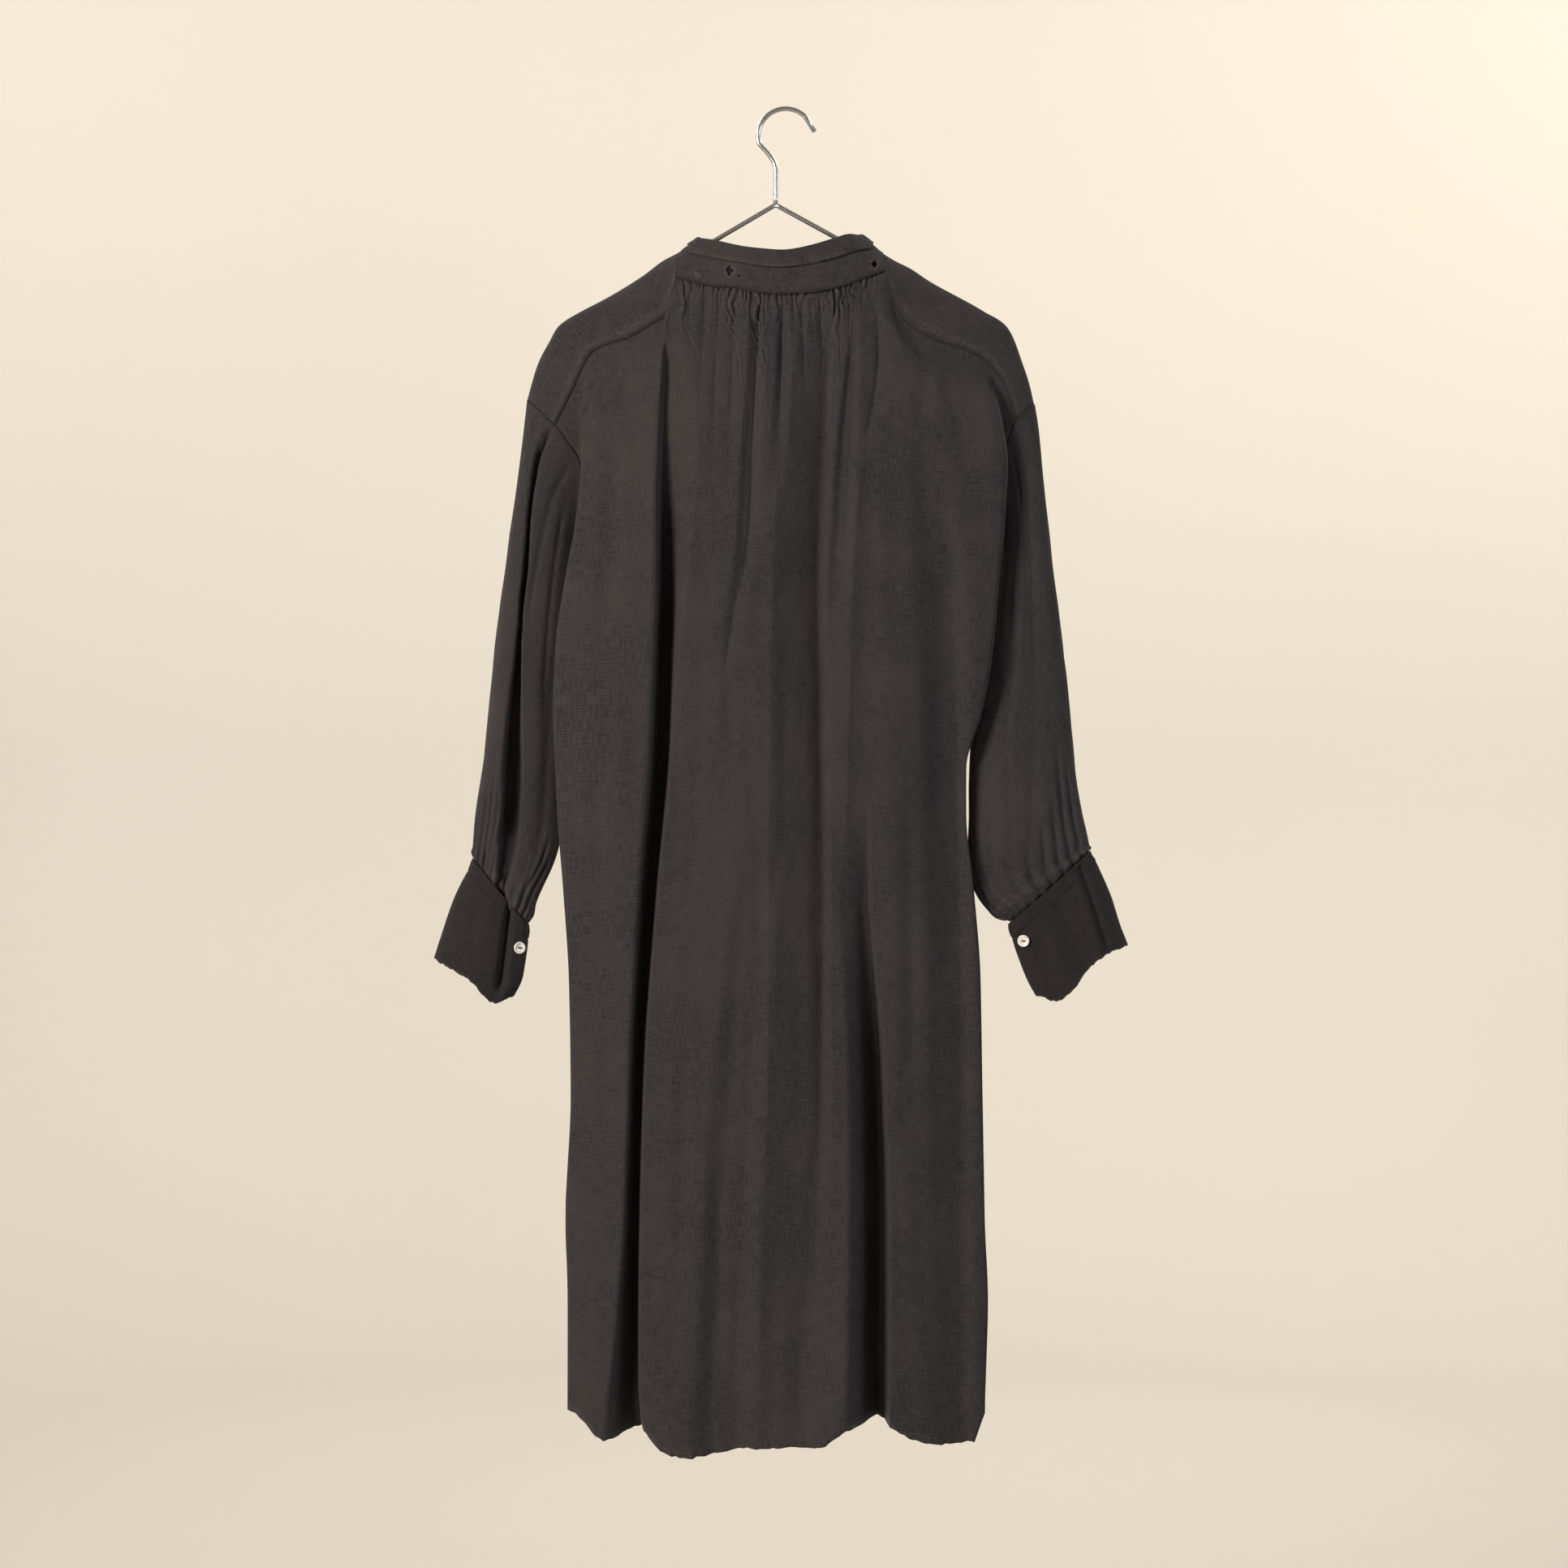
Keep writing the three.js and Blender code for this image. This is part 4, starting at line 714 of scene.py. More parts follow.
# 0 rolls over softly into the fold, 1 is a straight slope.
foldCrispness = {"leftDeep": 0.6, "middle": 0.95, "rightDeep": 0.7}
frontFolds = {
    "left": [
        [-230, -70, 2, 2, 9, 9], [-420, -84, 6, 4, 14, 14], [-800, -104, 9, 6, 18, 18],
        [-1284, -112, 10, 8, 20, 20],
    ],
    "centreLeft": [[-440, -12, 0, 2, 12, 12], [-620, -16, 6, 4, 16, 16], [-1284, -30, 8, 6, 20, 20]],
    "right": [
        [-230, 62, 2, 2, 9, 9], [-420, 70, 5, 4, 14, 14], [-800, 78, 8, 6, 18, 18],
        [-1284, 88, 10, 8, 20, 20],
    ],
    "farRight": [[-380, 132, 0, 2, 12, 12], [-560, 136, 5, 4, 15, 15], [-1284, 140, 6, 6, 18, 18]],
}


def foldFunctions(folds):
    return {
        name: {column: along(table(foldColumns, rows), "z", column) for column in foldColumns[1:]}
        for name, rows in folds.items()
    }


backFold, frontFold = foldFunctions(backFolds), foldFunctions(frontFolds)


def valleyDepth(folds, x, z):
    total = 0
    for name, fold in folds.items():
        ramp = lambda t: lerp(smooth(t), np.clip(t, 0, 1), foldCrispness.get(name, 0))
        centre, half = fold["x"](z), fold["half"](z)
        left, right = fold["wallLeft"](z), fold["wallRight"](z)
        total = total + fold["depth"](z) * (
            ramp((x - (centre - half - left)) / left) - ramp((x - (centre + half)) / right)
        )
    return total


# Sharp creases that run down out of the gathers: the place across, depth and reach to each side.
creaseColumns = ["z", "x", "depth", "left", "right"]
longCreases = {
    "leftOfCentre": [
        [-178, -25.5, 1.8, 2, 3], [-204, -26.2, 2.8, 2.2, 4], [-263, -28.8, 3.4, 2.2, 6],
        [-330, -32.0, 3.2, 2.4, 8],
        [-396, -34.0, 3.0, 2.8, 8], [-442, -39.3, 3.2, 3.4, 5], [-485, -48.8, 4.4, 4.5, 2.4],
        [-523, -54.7, 3.0, 5, 2.4],
        [-548, -57.0, 0.0, 8, 4],
    ],
    "centre": [
        [-182, -4.0, 1.6, 3, 2], [-200, -3.4, 3.6, 6, 2], [-247, -4.0, 3.2, 7, 2],
        [-330, -6.0, 1.6, 8, 3], [-396, -8.0, 0.0, 8, 4],
    ],
    "rightOfCentre": [
        [-182, 14.6, 2.0, 3, 3], [-201, 15.3, 3.6, 3, 3], [-240, 17.0, 2.2, 4, 4],
        [-280, 18.0, 0.0, 4, 4],
    ],
    "byTheMiddleFold": [
        [-180, 32.0, 2.2, 4, 2], [-205, 33.4, 3.4, 4, 2], [-235, 35.5, 1.6, 4, 3],
        [-262, 36.0, 0.0, 3, 3],
    ],
    "rightPanel": [
        [-176, 79.0, 0.8, 4, 4], [-205, 87.0, 2.6, 5, 6], [-242, 87.6, 3.6, 3, 9],
        [-289, 82.2, 3.6, 3, 10], [-345, 72.0, 0.0, 4, 9],
    ],
    "rightRidge": [
        [-300, 77.0, 0.0, 8, 6], [-360, 70.0, -2.4, 12, 8], [-457, 63.5, -3.2, 14, 9],
        [-596, 59.2, -3.2, 14, 10],
        [-720, 56.0, -2.0, 14, 12], [-800, 54.0, 0.0, 14, 12],
    ],
    "leftPanelEdge": [
        [-166, -93, 1.4, 3, 3], [-185, -92.5, 2.8, 3, 5], [-225, -94, 1.8, 4, 6],
        [-270, -97, 0.0, 4, 6],
    ],
    "farLeft": [
        [-172, -76.5, 1.4, 2, 3], [-200, -77.5, 3.0, 3, 6], [-250, -80, 2.0, 5, 7],
        [-340, -84, 0.0, 6, 8],
    ],
    "left": [
        [-175, -62.4, 1.4, 2, 3], [-196, -63.4, 2.6, 3, 5], [-250, -66.5, 2.2, 5, 7],
        [-380, -70, 0.0, 6, 8],
    ],
    "leftMiddle": [
        [-177, -47.6, 1.4, 2, 2], [-200, -48.6, 2.6, 3, 5], [-262, -51, 2.2, 4, 7],
        [-400, -55, 0.0, 6, 9],
    ],
    "farRight": [[-176, 58.5, 1.2, 2, 2], [-200, 60.5, 1.8, 3, 3], [-236, 61.5, 0.0, 4, 4]],
}
# Light creases: where each starts, where it ends, depth and half width.
backCreases = table(
    ["x0", "z0", "x1", "z1", "depth", "half"],
    [
        [7, -182, 8, -226, 1.2, 2.2], [24, -180, 25, -215, 1.2, 2], [46, -178, 47, -206, 1.0, 2],
        [-212, -978, -206, -1048, 2.0, 3], [-206, -1048, -196, -1112, 1.6, 4],
        [118, -700, 124, -980, 1.6, 9],
        [-80, -520, -84, -760, 1.2, 8], [-96, -900, -100, -1180, 1.5, 9], [128, -1080, 140, -1240, 1.4, 8],
        [-178, -640, -172, -820, 1.6, 9], [160, -420, 170, -520, 1.6, 5], [-150, -260, -168, -330, 1.5, 5],
        [150, -262, 172, -330, 1.3, 5], [48, -1010, 36, -1230, 1.4, 8], [-30, -620, -24, -760, 1.2, 7],
        [160, -862, 186, -905, 1.6, 6], [150, -905, 184, -930, 1.4, 6], [-204, -640, -196, -760, 1.4, 4],
        [-190, -1120, -180, -1250, 1.6, 6], [150, -1120, 178, -1180, 1.4, 7],
        [120, -1236, 160, -1252, 1.0, 5],
    ],
)


def creaseDepth(creases, x, z):
    total = np.zeros(np.broadcast(x, z).shape)
    for x0, z0, x1, z1, depth, half in zip(*creases.values()):
        dx, dz = x1 - x0, z1 - z0
        t = ((x - x0) * dx + (z - z0) * dz) / (dx * dx + dz * dz)
        off = ((x - x0) * dz - (z - z0) * dx) / math.hypot(dx, dz)
        total = total + depth * np.exp(-((off / half) ** 2)) * smooth(t / 0.12 + 0.5) * smooth((1 - t) / 0.45)
    return total


def longCreaseDepth(x, z):  # each is a narrow trough with a sharp bottom
    total = 0
    for rows in longCreases.values():
        crease = table(creaseColumns, rows)
        off = x - along(crease, "z", "x")(z)
        reach = np.where(off < 0, along(crease, "z", "left")(z), along(crease, "z", "right")(z))
        inside = (z < crease["z"][0] + 8) & (z > crease["z"][-1])
        total = total + along(crease, "z", "depth")(z) * np.exp(-np.abs(off) / reach) * inside
    return total


# ---- back panel

backLook = {
    "gathers": 36, "gatherDepth": 1.7, "hemWorn": 0.25,
    "rumples": [[2.2, 34, 330, 3], [0.9, 13, 150, 4], [0.9, 40, 46, 6], [0.5, 9, 24, 7]],
}


def backY(x, z):
    middle = (leftFold(z) + rightFold(z)) / 2
    reach = (rightFold(z) - leftFold(z)) / 2
    crown = 1 - 0.45 * np.minimum(1, np.abs((x - middle) / reach)) ** 3
    return np.minimum(-8.5, -backDepth(z) * crown + valleyDepth(backFold, x, z))


def backColumns():
    def corners(fold):
        return [
            lambda z: fold["x"](z) - fold["half"](z) - fold["wallLeft"](z),
            lambda z: fold["x"](z) - fold["half"](z),
            lambda z: fold["x"](z),
            lambda z: fold["x"](z) + fold["half"](z),
            lambda z: fold["x"](z) + fold["half"](z) + fold["wallRight"](z),
        ]

    def between(a, b, count):
        return [lambda z, t=(i + 1) / count: lerp(a(z), b(z), t) for i in range(count - 1)]

    first, second = corners(backFold["leftDeep"]), corners(backFold["rightDeep"])
    keel = lambda z: lerp(second[4](z), rightFold(z), 0.16)
    middle = backFold["middle"]["x"]
    columns = [leftFold, *between(leftFold, first[0], foldStation - 4), *first]
    columns += [*between(first[4], middle, 11), middle, *between(middle, second[0], 4), *second]
    rightCorner = len(columns)
    columns += [keel, *between(keel, rightFold, foldStation), rightFold]
    return columns, foldStation, rightCorner


rowDrops = np.array([0, 11, 24, 50, 85, 125, 170, 215], float)
rowsBelow = {"back": 16, "front": 11}


def rowHeight(i, top, bottom, below):
    upper = top - np.interp(i, np.arange(8), rowDrops)
    return np.where(i < 7, upper, lerp(top - rowDrops[-1], bottom, (i - 7) / below))


def edgeHeight(i, join, bottom, below):
    return np.where(
        i <= armholeRows, lerp(join, underarmZ, i / armholeRows), lerp(underarmZ, bottom, (i - armholeRows) / below)
    )


def sideEdgePoint(side, face, i):
    i = np.atleast_1d(np.asarray(i, float))
    bottom = hemAt(side.seam(-1250.0)) - 1
    z = edgeHeight(i, side.joinZ[face], bottom, rowsBelow[face])
    below = z < underarmZ
    x = np.where(below, side.seam(z), side.armX[face](z))
    apart = (-0.5 if face == "back" else 0.5) * np.minimum(1, (underarmZ - z) / 30)
    y = np.where(below, sideSeamY + apart, side.armY[face](z))
    return np.stack([x, y, z], axis=1)


def backGrid(i, c):  # points of the back at row places i and column places c, with the tucked returns
    columns, leftCorner, rightCorner = backColumns()
    n = len(columns)
    i = np.asarray(i, float)
    steps = len(yokeStations) - 1 - foldStation
    neck = neckPoints(neckBack, False)
    fine = np.linspace(0, 8, 400)
    neckFine = spline(neck, fine)
    tops = []
    span = [columns[leftCorner](-180.0), columns[rightCorner](-180.0)]
    for k, column in enumerate(columns):
        if k <= leftCorner:
            tops.append(sides["left"].seamPoint(yokeStations[foldStation - k])[0])
        elif k >= rightCorner:
            tops.append(sides["right"].seamPoint(yokeStations[k - rightCorner])[0])
        else:
            x = lerp(neck[0, 0], neck[-1, 0], (column(-180.0) - span[0]) / (span[1] - span[0]))
            tops.append(np.array([np.interp(x, neckFine[:, 0], neckFine[:, m]) for m in range(3)]))
    tops = np.array(tops)
    xs, zs = np.zeros((len(i), n)), np.zeros((len(i), n))
    for k, column in enumerate(columns):
        z = rowHeight(i, tops[k, 2], hemAt(column(-1270.0)), rowsBelow["back"])
        settle = smooth((tops[k, 2] - z) / 75)
        xs[:, k] = column(z) + (tops[k, 0] - column(tops[k, 2])) * (1 - settle)
        zs[:, k] = z
    face = np.clip(c, 0, n - 1)
    k = np.minimum(face.astype(int), n - 2)
    share = face - k
    x = xs[:, k] * (1 - share) + xs[:, k + 1] * share
    z = zs[:, k] * (1 - share) + zs[:, k + 1] * share
    topY = tops[k, 1] * (1 - share) + tops[k + 1, 1] * share
    topZ = tops[k, 2] * (1 - share) + tops[k + 1, 2] * share
    topX = tops[k, 0] * (1 - share) + tops[k + 1, 0] * share
    y = lerp(topY, backY(x, z), smooth((topZ - z) / 46))
    grid = np.stack([x, y, z], axis=2)

    for name, inside in (("left", c < 0), ("right", c > n - 1)):
        if not inside.any():
            continue
        side = sides[name]
        h = (-c[inside] if name == "left" else c[inside] - (n - 1)) / steps
        edge = 0 if name == "left" else -1
        fold = np.stack([xs[:, edge], backFaceY(xs[:, edge], zs[:, edge], tops[edge]), zs[:, edge]], axis=1)
        seam = sideEdgePoint(side, "back", i)

        def tuck(f, s, below):
            a = lerp(f[:, None, 0], s[:, None, 0], h[None, :] ** lerp(0.75, 1.3, below)[:, None])
            b = lerp(f[:, None, 1], s[:, None, 1], h[None, :] ** lerp(1.1, 0.75, below)[:, None])
            return np.stack([a, b, lerp(f[:, None, 2], s[:, None, 2], h[None, :])], axis=2)

        tucked = tuck(fold, seam, smooth((i - armholeRows) / 3))
        firstFold, firstSeam = fold[:1], sideEdgePoint(side, "back", 0)
        if i[0] > 0:
            edgeTop = tops[edge]
            firstFold = np.array([edgeTop])
        first = tuck(firstFold, firstSeam, np.zeros(1))[0]
        station = foldStation + h * steps
        seat = side.seamPoint(np.interp(station, np.arange(len(yokeStations)), yokeStations))
        grid[:, inside] = tucked + (seat - first)[None] * (1 - smooth(i / 3))[:, None, None]
    return grid, (topX, topZ, xs, tops)


def backFaceY(x, z, top):
    return lerp(top[1], backY(x, z), smooth((top[2] - z) / 46))


def makeBack():
    columns, leftCorner, rightCorner = backColumns()
    n = len(columns)
    steps = len(yokeStations) - 1 - foldStation
    spread = lambda a, b, per: np.linspace(a, b, int(round((b - a) * per)) + 1)
    # places across: dense on steep walls and over the gathers
    outer = [spread(-steps, 0, 4), spread(0, 4, 4), spread(4, 5, 11), spread(5, 7, 3), spread(7, 8, 11)]
    right = [spread(rightCorner, n - 1, 3), spread(n - 1, n - 1 + steps, 4)]
    lateWall = [spread(rightCorner - 5, rightCorner - 4, 7), spread(rightCorner - 2, rightCorner - 1, 9)]
    topShare = np.linspace(0, 1, backLook["gathers"] * 6 + 1)
    gatherPlaces = gatherColumns(topShare, leftCorner, rightCorner)
    coarsePlaces = gatherColumns(np.linspace(0, 1, 128), leftCorner, rightCorner)
    unique = lambda parts: np.unique(np.round(np.concatenate(parts), 4))
    dense = unique([*outer, gatherPlaces, *lateWall, *right])
    plain = unique([*outer, coarsePlaces, *lateWall, *right])
    upperRows = np.concatenate([
        np.interp(np.arange(0, 48, 2.2), rowDrops, np.arange(8)),
        np.interp(np.arange(48, 150, 4.2), rowDrops, np.arange(8)),
    ])
    lowerRows = np.concatenate([
        np.interp(np.arange(150, 215, 6.5), rowDrops, np.arange(8)), np.linspace(7, 23, 104)
    ])
    rows, lengths, places, wearAndShade = [], [], [], []
    reference, _ = backGrid(np.array([15.0]), dense)
    run = np.concatenate([[0], np.cumsum(np.linalg.norm(np.diff(reference[0], axis=0), axis=1))])
    for rowSet, c in ((upperRows, dense), (lowerRows, plain)):
        grid, (topX, topZ, _, _) = backGrid(rowSet, c)
        inGathers = (c > leftCorner) & (c < rightCorner)
        x, z = grid[:, :, 0], grid[:, :, 2]
        below = topZ[None, :] - z
        share = (topX - (-104)) / 198
        gather = np.floor(share * backLook["gathers"])
        rng = np.random.default_rng(5)
        reachOf = 9 + 75 * rng.uniform(0, 1, 64) ** 3
        sizeOf = rng.uniform(0.3, 1.2, 64)
        which = np.clip(gather, 0, 63).astype(int)
        fade = np.exp(-((below / reachOf[which]) ** 1.2)) * sizeOf[which]
        wander = 0.7 * unevenness((share * backLook["gathers"])[None, :], below, 1.6, 8, 8)
        wave = np.cos(2 * np.pi * ((share * backLook["gathers"])[None, :] + wander))
        ends = smooth(share * 30) * smooth((1 - share) * 30)
        ripple = backLook["gatherDepth"] * wave * fade * ends * inGathers
        seamTuck = 2.0 * np.exp(-((below / 3.5) ** 2)) * inGathers  # drawn in under the band
        soft = rumpled(x, z, backLook["rumples"]) * smooth(below / 60)
        face = (c >= 0) & (c <= n - 1)
        creases = creaseDepth(backCreases, x, z) + longCreaseDepth(x, z)
        grid[:, :, 1] += (seamTuck - ripple + soft + creases * smooth(below / 12)) * face
        for r in range(len(rowSet)):
            rows.append(grid[r])
            u = np.interp(c, dense, run)
            lengths.append(np.stack([u, -grid[r, :, 2]], axis=1) * millimetre)
            places.append(c)
            atHem = np.exp(-((grid[r, :, 2] - hemAt(x[r])) / 2.5) ** 2) * backLook["hemWorn"]
            ridge = 0.2 * smooth(ripple[r] / 1.4)
            # Painted shade: the cloth is darkened toward near black at the bottom of the deep folds.
            backFoldShade = 0.5 * smooth((valleyDepth(backFold, x[r], grid[r, :, 2]) - 8) / 16) * face
            wearAndShade.append(atHem + ridge - backFoldShade)
    rows[-1][:, 2] += 1.1 * unevenness(rows[-1][:, 0], 0 * rows[-1][:, 0], 4.0, 1, 21)  # a worn, uneven edge
    piece = clothPiece("backPanel", rows, lengths, bodyLinen, places, wearAndShade=wearAndShade)
    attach(piece, "root")
    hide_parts("back")


def gatherColumns(share, leftCorner, rightCorner):  # column places evenly spread along the neck seam
    columns, _, _ = backColumns()
    at = np.array([columns[k](-180.0) for k in range(leftCorner, rightCorner + 1)])
    at = (at - at[0]) / (at[-1] - at[0])
    return np.interp(share, at, np.arange(leftCorner, rightCorner + 1))


makeBack()
print("back panel")

# ---- front panel, which only shows from the other side

frontLook = {"gathers": 28, "gatherDepth": 1.1, "slitTop": 7.0, "slitBottom": 1.2, "slitEnd": -470.0}


def frontGrid(i, share):
    neck = neckPoints(neckFront, False)
    left = sides["left"].frontSeamPoint(yokeStations[:0:-1])
    right = sides["right"].frontSeamPoint(yokeStations[1:])
    fine = spline(neck, np.linspace(0, 8, 161))
    tops = np.concatenate([left, fine, right])
    topShare = (tops[:, 0] - tops[0, 0]) / (tops[-1, 0] - tops[0, 0])
    top = np.stack([np.interp(share, topShare, tops[:, m]) for m in range(3)], axis=1)
    ends = [sideEdgePoint(sides["left"], "front", i), sideEdgePoint(sides["right"], "front", i)]
    z = rowHeight(i[:, None], top[None, :, 2], hemAt(lerp(-200, 184, share))[None, :] + 2, rowsBelow["front"])
    edge = np.minimum(share, 1 - share)
    endZ = np.where(share[None, :] < 0.5, ends[0][:, None, 2], ends[1][:, None, 2])
    rise = (top[None, :, 2] - endZ[:1]) * np.clip(1 - i / 7, 0, 1)[:, None]  # keeps the top rows on the yoke seam
    height = lerp(endZ + rise, z, smooth(edge / 0.1)[None, :])
    seamX = [
        np.where(height < underarmZ, side.seam(height), side.armX["front"](height)) for side in sides.values()
    ]
    across = lerp(seamX[0], seamX[1], lerp(share, smooth(share), -0.25)[None, :])
    settle = smooth((top[None, :, 2] - height) / 90)
    x = lerp(top[None, :, 0], across, settle)
    crown = 1 - np.abs(2 * share - 1) ** 6
    full = lerp(sideSeamY, 25, crown)[None, :] - valleyDepth(frontFold, x, height)
    y = lerp(top[None, :, 1], full, settle)
    grid = np.stack([x, y, height], axis=2)
    grid[:, 0], grid[:, -1] = ends[0], ends[1]
    return grid, top


def makeFront():
    share = np.linspace(0, 1, 188)
    i = np.concatenate([
        np.interp(np.arange(0, 60, 2.6), rowDrops, np.arange(8)),
        np.interp(np.arange(60, 215, 5.0), rowDrops, np.arange(8)), np.linspace(7, 18, 118),
    ])
    grid, top = frontGrid(i, share)
    x, z = grid[:, :, 0].copy(), grid[:, :, 2]
    below = top[None, :, 2] - z
    inNeck = smooth((top[:, 0] + 99) / 8) * smooth((90 - top[:, 0]) / 8)
    rng = np.random.default_rng(9)
    reachOf, sizeOf = rng.uniform(14, 60, 64), rng.uniform(0.6, 1.2, 64)
    turn = (top[:, 0] + 99) / 189 * frontLook["gathers"]
    which = np.clip(turn, 0, 63).astype(int)
    fade = np.exp(-((below / reachOf[which]) ** 1.2)) * sizeOf[which]
    ripple = frontLook["gatherDepth"] * np.cos(2 * np.pi * turn) * fade * inNeck
    soft = rumpled(x, z, [[0.9, 30, 160, 13], [0.5, 12, 90, 14], [0.5, 45, 40, 16]])
    inside = smooth(np.minimum(share, 1 - share) / 0.05) * smooth(below / 50)
    grid[:, :, 1] += ripple - 1.4 * np.exp(-((below / 3.5) ** 2)) * inNeck + soft * inside
    slitRows = z > frontLook["slitEnd"]
    width = lerp(frontLook["slitTop"], frontLook["slitBottom"], np.clip((-205 - z) / 265, 0, 1))
    mid = len(share) // 2
    for column, sign in ((mid - 1, -1), (mid, 1)):
        x[:, column] = np.where(slitRows[:, column], sign * width[:, column] / 2, x[:, column])
    grid[:, :, 0] = x
    slit = lambda p: (np.abs(p[:, 0]) < 0.4) & (p[:, 2] > frontLook["slitEnd"] + 2)
    uv = gridLengths(grid)
    piece = clothPiece("frontPanel", list(grid), list(uv), bodyLinen, skip=slit)
    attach(piece, "root")
    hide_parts("front")


makeFront()
print("front panel")

# ---- yokes, band and collar

seamLook = {"overlap": 1.4, "lift": 0.15}


def makeYoke(name):
    side = sides[name]
    k = np.linspace(0, 8, 150)
    t = np.linspace(0, 1, 64)
    grid = np.array([side.arch(place, t) for place in k])
    outward = np.cross(np.gradient(grid, axis=0), np.gradient(grid, axis=1)) * -side.sign
    outward /= np.linalg.norm(outward, axis=2, keepdims=True)
    if outward[75, 5, 1] > 0:
        outward *= -1
    lift = seamLook["lift"] * (np.exp(-((t / 0.05) ** 2)) + np.exp(-(((1 - t) / 0.05) ** 2)))
    ridgeSoft = 0.5 * unevenness(grid[:, :, 0], grid[:, :, 2] + 3 * grid[:, :, 1], 24, 24, 31 + side.sign)
    grid += outward * (lift[None, :] + ridgeSoft * np.sin(np.pi * t)[None, :])[:, :, None]
    for edge, inner in ((0, 1), (-1, -2)):
        run = grid[:, edge] - grid[:, inner]
        grid[:, edge] += run / np.linalg.norm(run, axis=1, keepdims=True) * seamLook["overlap"]
    if side.sign < 0:
        grid = grid[:, ::-1]
    fromEdge = np.minimum(t, 1 - t) / 0.016
    # A paler rubbed line just inside each seam, and painted shade: a dark line at the yoke's seam edge.
    wearAndShade = (0.15 * np.exp(-((fromEdge - 2.2) ** 2)) - 0.5 * np.exp(-((fromEdge / 0.5) ** 2)))[None, :] * np.ones((len(k), 1))
    piece = clothPiece(
        name + "Yoke", list(grid), list(gridLengths(grid)), bodyLinen, wearAndShade=list(wearAndShade if side.sign > 0 else wearAndShade[:, ::-1])
    )
    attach(piece, "root")
    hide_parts("yoke_" + name)


bandLook = {"puff": 1.2, "plyGap": 1.9}
ripPlaces = [
    {"x": -53.5, "z": -158.5, "wide": 7.6, "high": 9.2, "teeth": [1, 0.55, 1.2, 0.7, 0.95, 0.6, 1.15, 0.8]},
    {"x": -44.5, "z": -164.0, "wide": 3.6, "high": 3.0, "teeth": [1.1, 0.6, 0.8, 0.7, 1.1, 0.7, 0.9, 0.6]},
    {"x": 84.5, "z": -151.5, "wide": 6.2, "high": 7.4, "teeth": [1, 0.8, 1.1, 0.75, 1, 0.8, 1.1, 0.7]},
]


def bandAt(t):
    q = lerp(topLoop, seamLoop, t)
    out = np.stack([q[:, 0], q[:, 1] * 1.5, 0 * q[:, 0]], axis=1)
    out /= np.linalg.norm(out, axis=1, keepdims=True)
    return q + out * bandLook["puff"] * math.sin(math.pi * t), out


def inRip(points):
    torn = np.zeros(len(points), bool)
    for rip in ripPlaces:
        dx, dz = (points[:, 0] - rip["x"]) / (rip["wide"] / 2), (points[:, 2] - rip["z"]) / (rip["high"] / 2)
        turn = (np.arctan2(dz, dx) % (2 * np.pi)) / (2 * np.pi) * 8
        reach = np.interp(turn, np.arange(9), rip["teeth"] + rip["teeth"][:1])
        torn |= (np.hypot(dx, dz) < reach) & (points[:, 1] < 0)
    return torn


def makeBand():
    ts = np.linspace(0, 1, 34)
    grid = np.array([bandAt(t)[0] for t in ts])
    out = bandAt(0.5)[1]
    grid[-1] += (grid[-1] - grid[-2]) * 0.9
    grid[-3:] += out * np.array([0.3, 0.7, 1.0])[:, None, None]
    x, z = grid[:, :, 0], grid[:, :, 2]
    rumple = 0.7 * unevenness(x + grid[:, :, 1], z, 9, 12, 41) + 0.7 * unevenness(x + grid[:, :, 1], z, 34, 12, 42)
    patch = np.exp(-(((x + 82) / 8) ** 2 + ((z + 161) / 6) ** 2)) * (grid[:, :, 1] < 0)
    rumple = rumple + patch * 2.4 * unevenness(x, z, 2.4, 2.6, 43)
    grid += out[None] * (rumple * np.sin(np.pi * ts)[:, None])[:, :, None]
    # Painted shade: a dark line along the band's lower edge, where the gathers meet it.
    wearAndShade = -0.5 * np.exp(-(((1 - ts) / 0.04) ** 2))[:, None] * np.ones((1, grid.shape[1]))
    frayed = 0.7 * patch * unevenness(x, z, 1.8, 2.2, 44)
    for rip in ripPlaces:
        away = np.hypot((x - rip["x"]) / rip["wide"], (z - rip["z"]) / rip["high"])
        frayed = frayed + 0.3 * np.exp(-((away - 0.55) / 0.2) ** 2) * (grid[:, :, 1] < 0)
    uv = gridLengths(grid)
    piece = clothPiece("neckBand", list(grid), list(uv), bodyLinen, wearAndShade=list(wearAndShade + frayed), skip=inRip)
    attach(piece, "root")
    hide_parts("neck_band")


def makeInnerPly():  # the band's inner layer, which shows through its rips
    ts = np.linspace(0.12, 0.9, 16)
    back = slice(88, 272)
    grid = np.array([bandAt(t)[0][back] - bandAt(t)[1][back] * bandLook["plyGap"] for t in ts])
    # Painted shade: the inner ply is darkened toward near black so the rips read as dark holes.
    shade = [np.full(grid.shape[1], -0.9)] * len(ts)
    piece = clothPiece("bandInnerPly", list(grid), list(gridLengths(grid)), bodyLinen, wearAndShade=shade, thickness=0.6)
    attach(piece, "root")


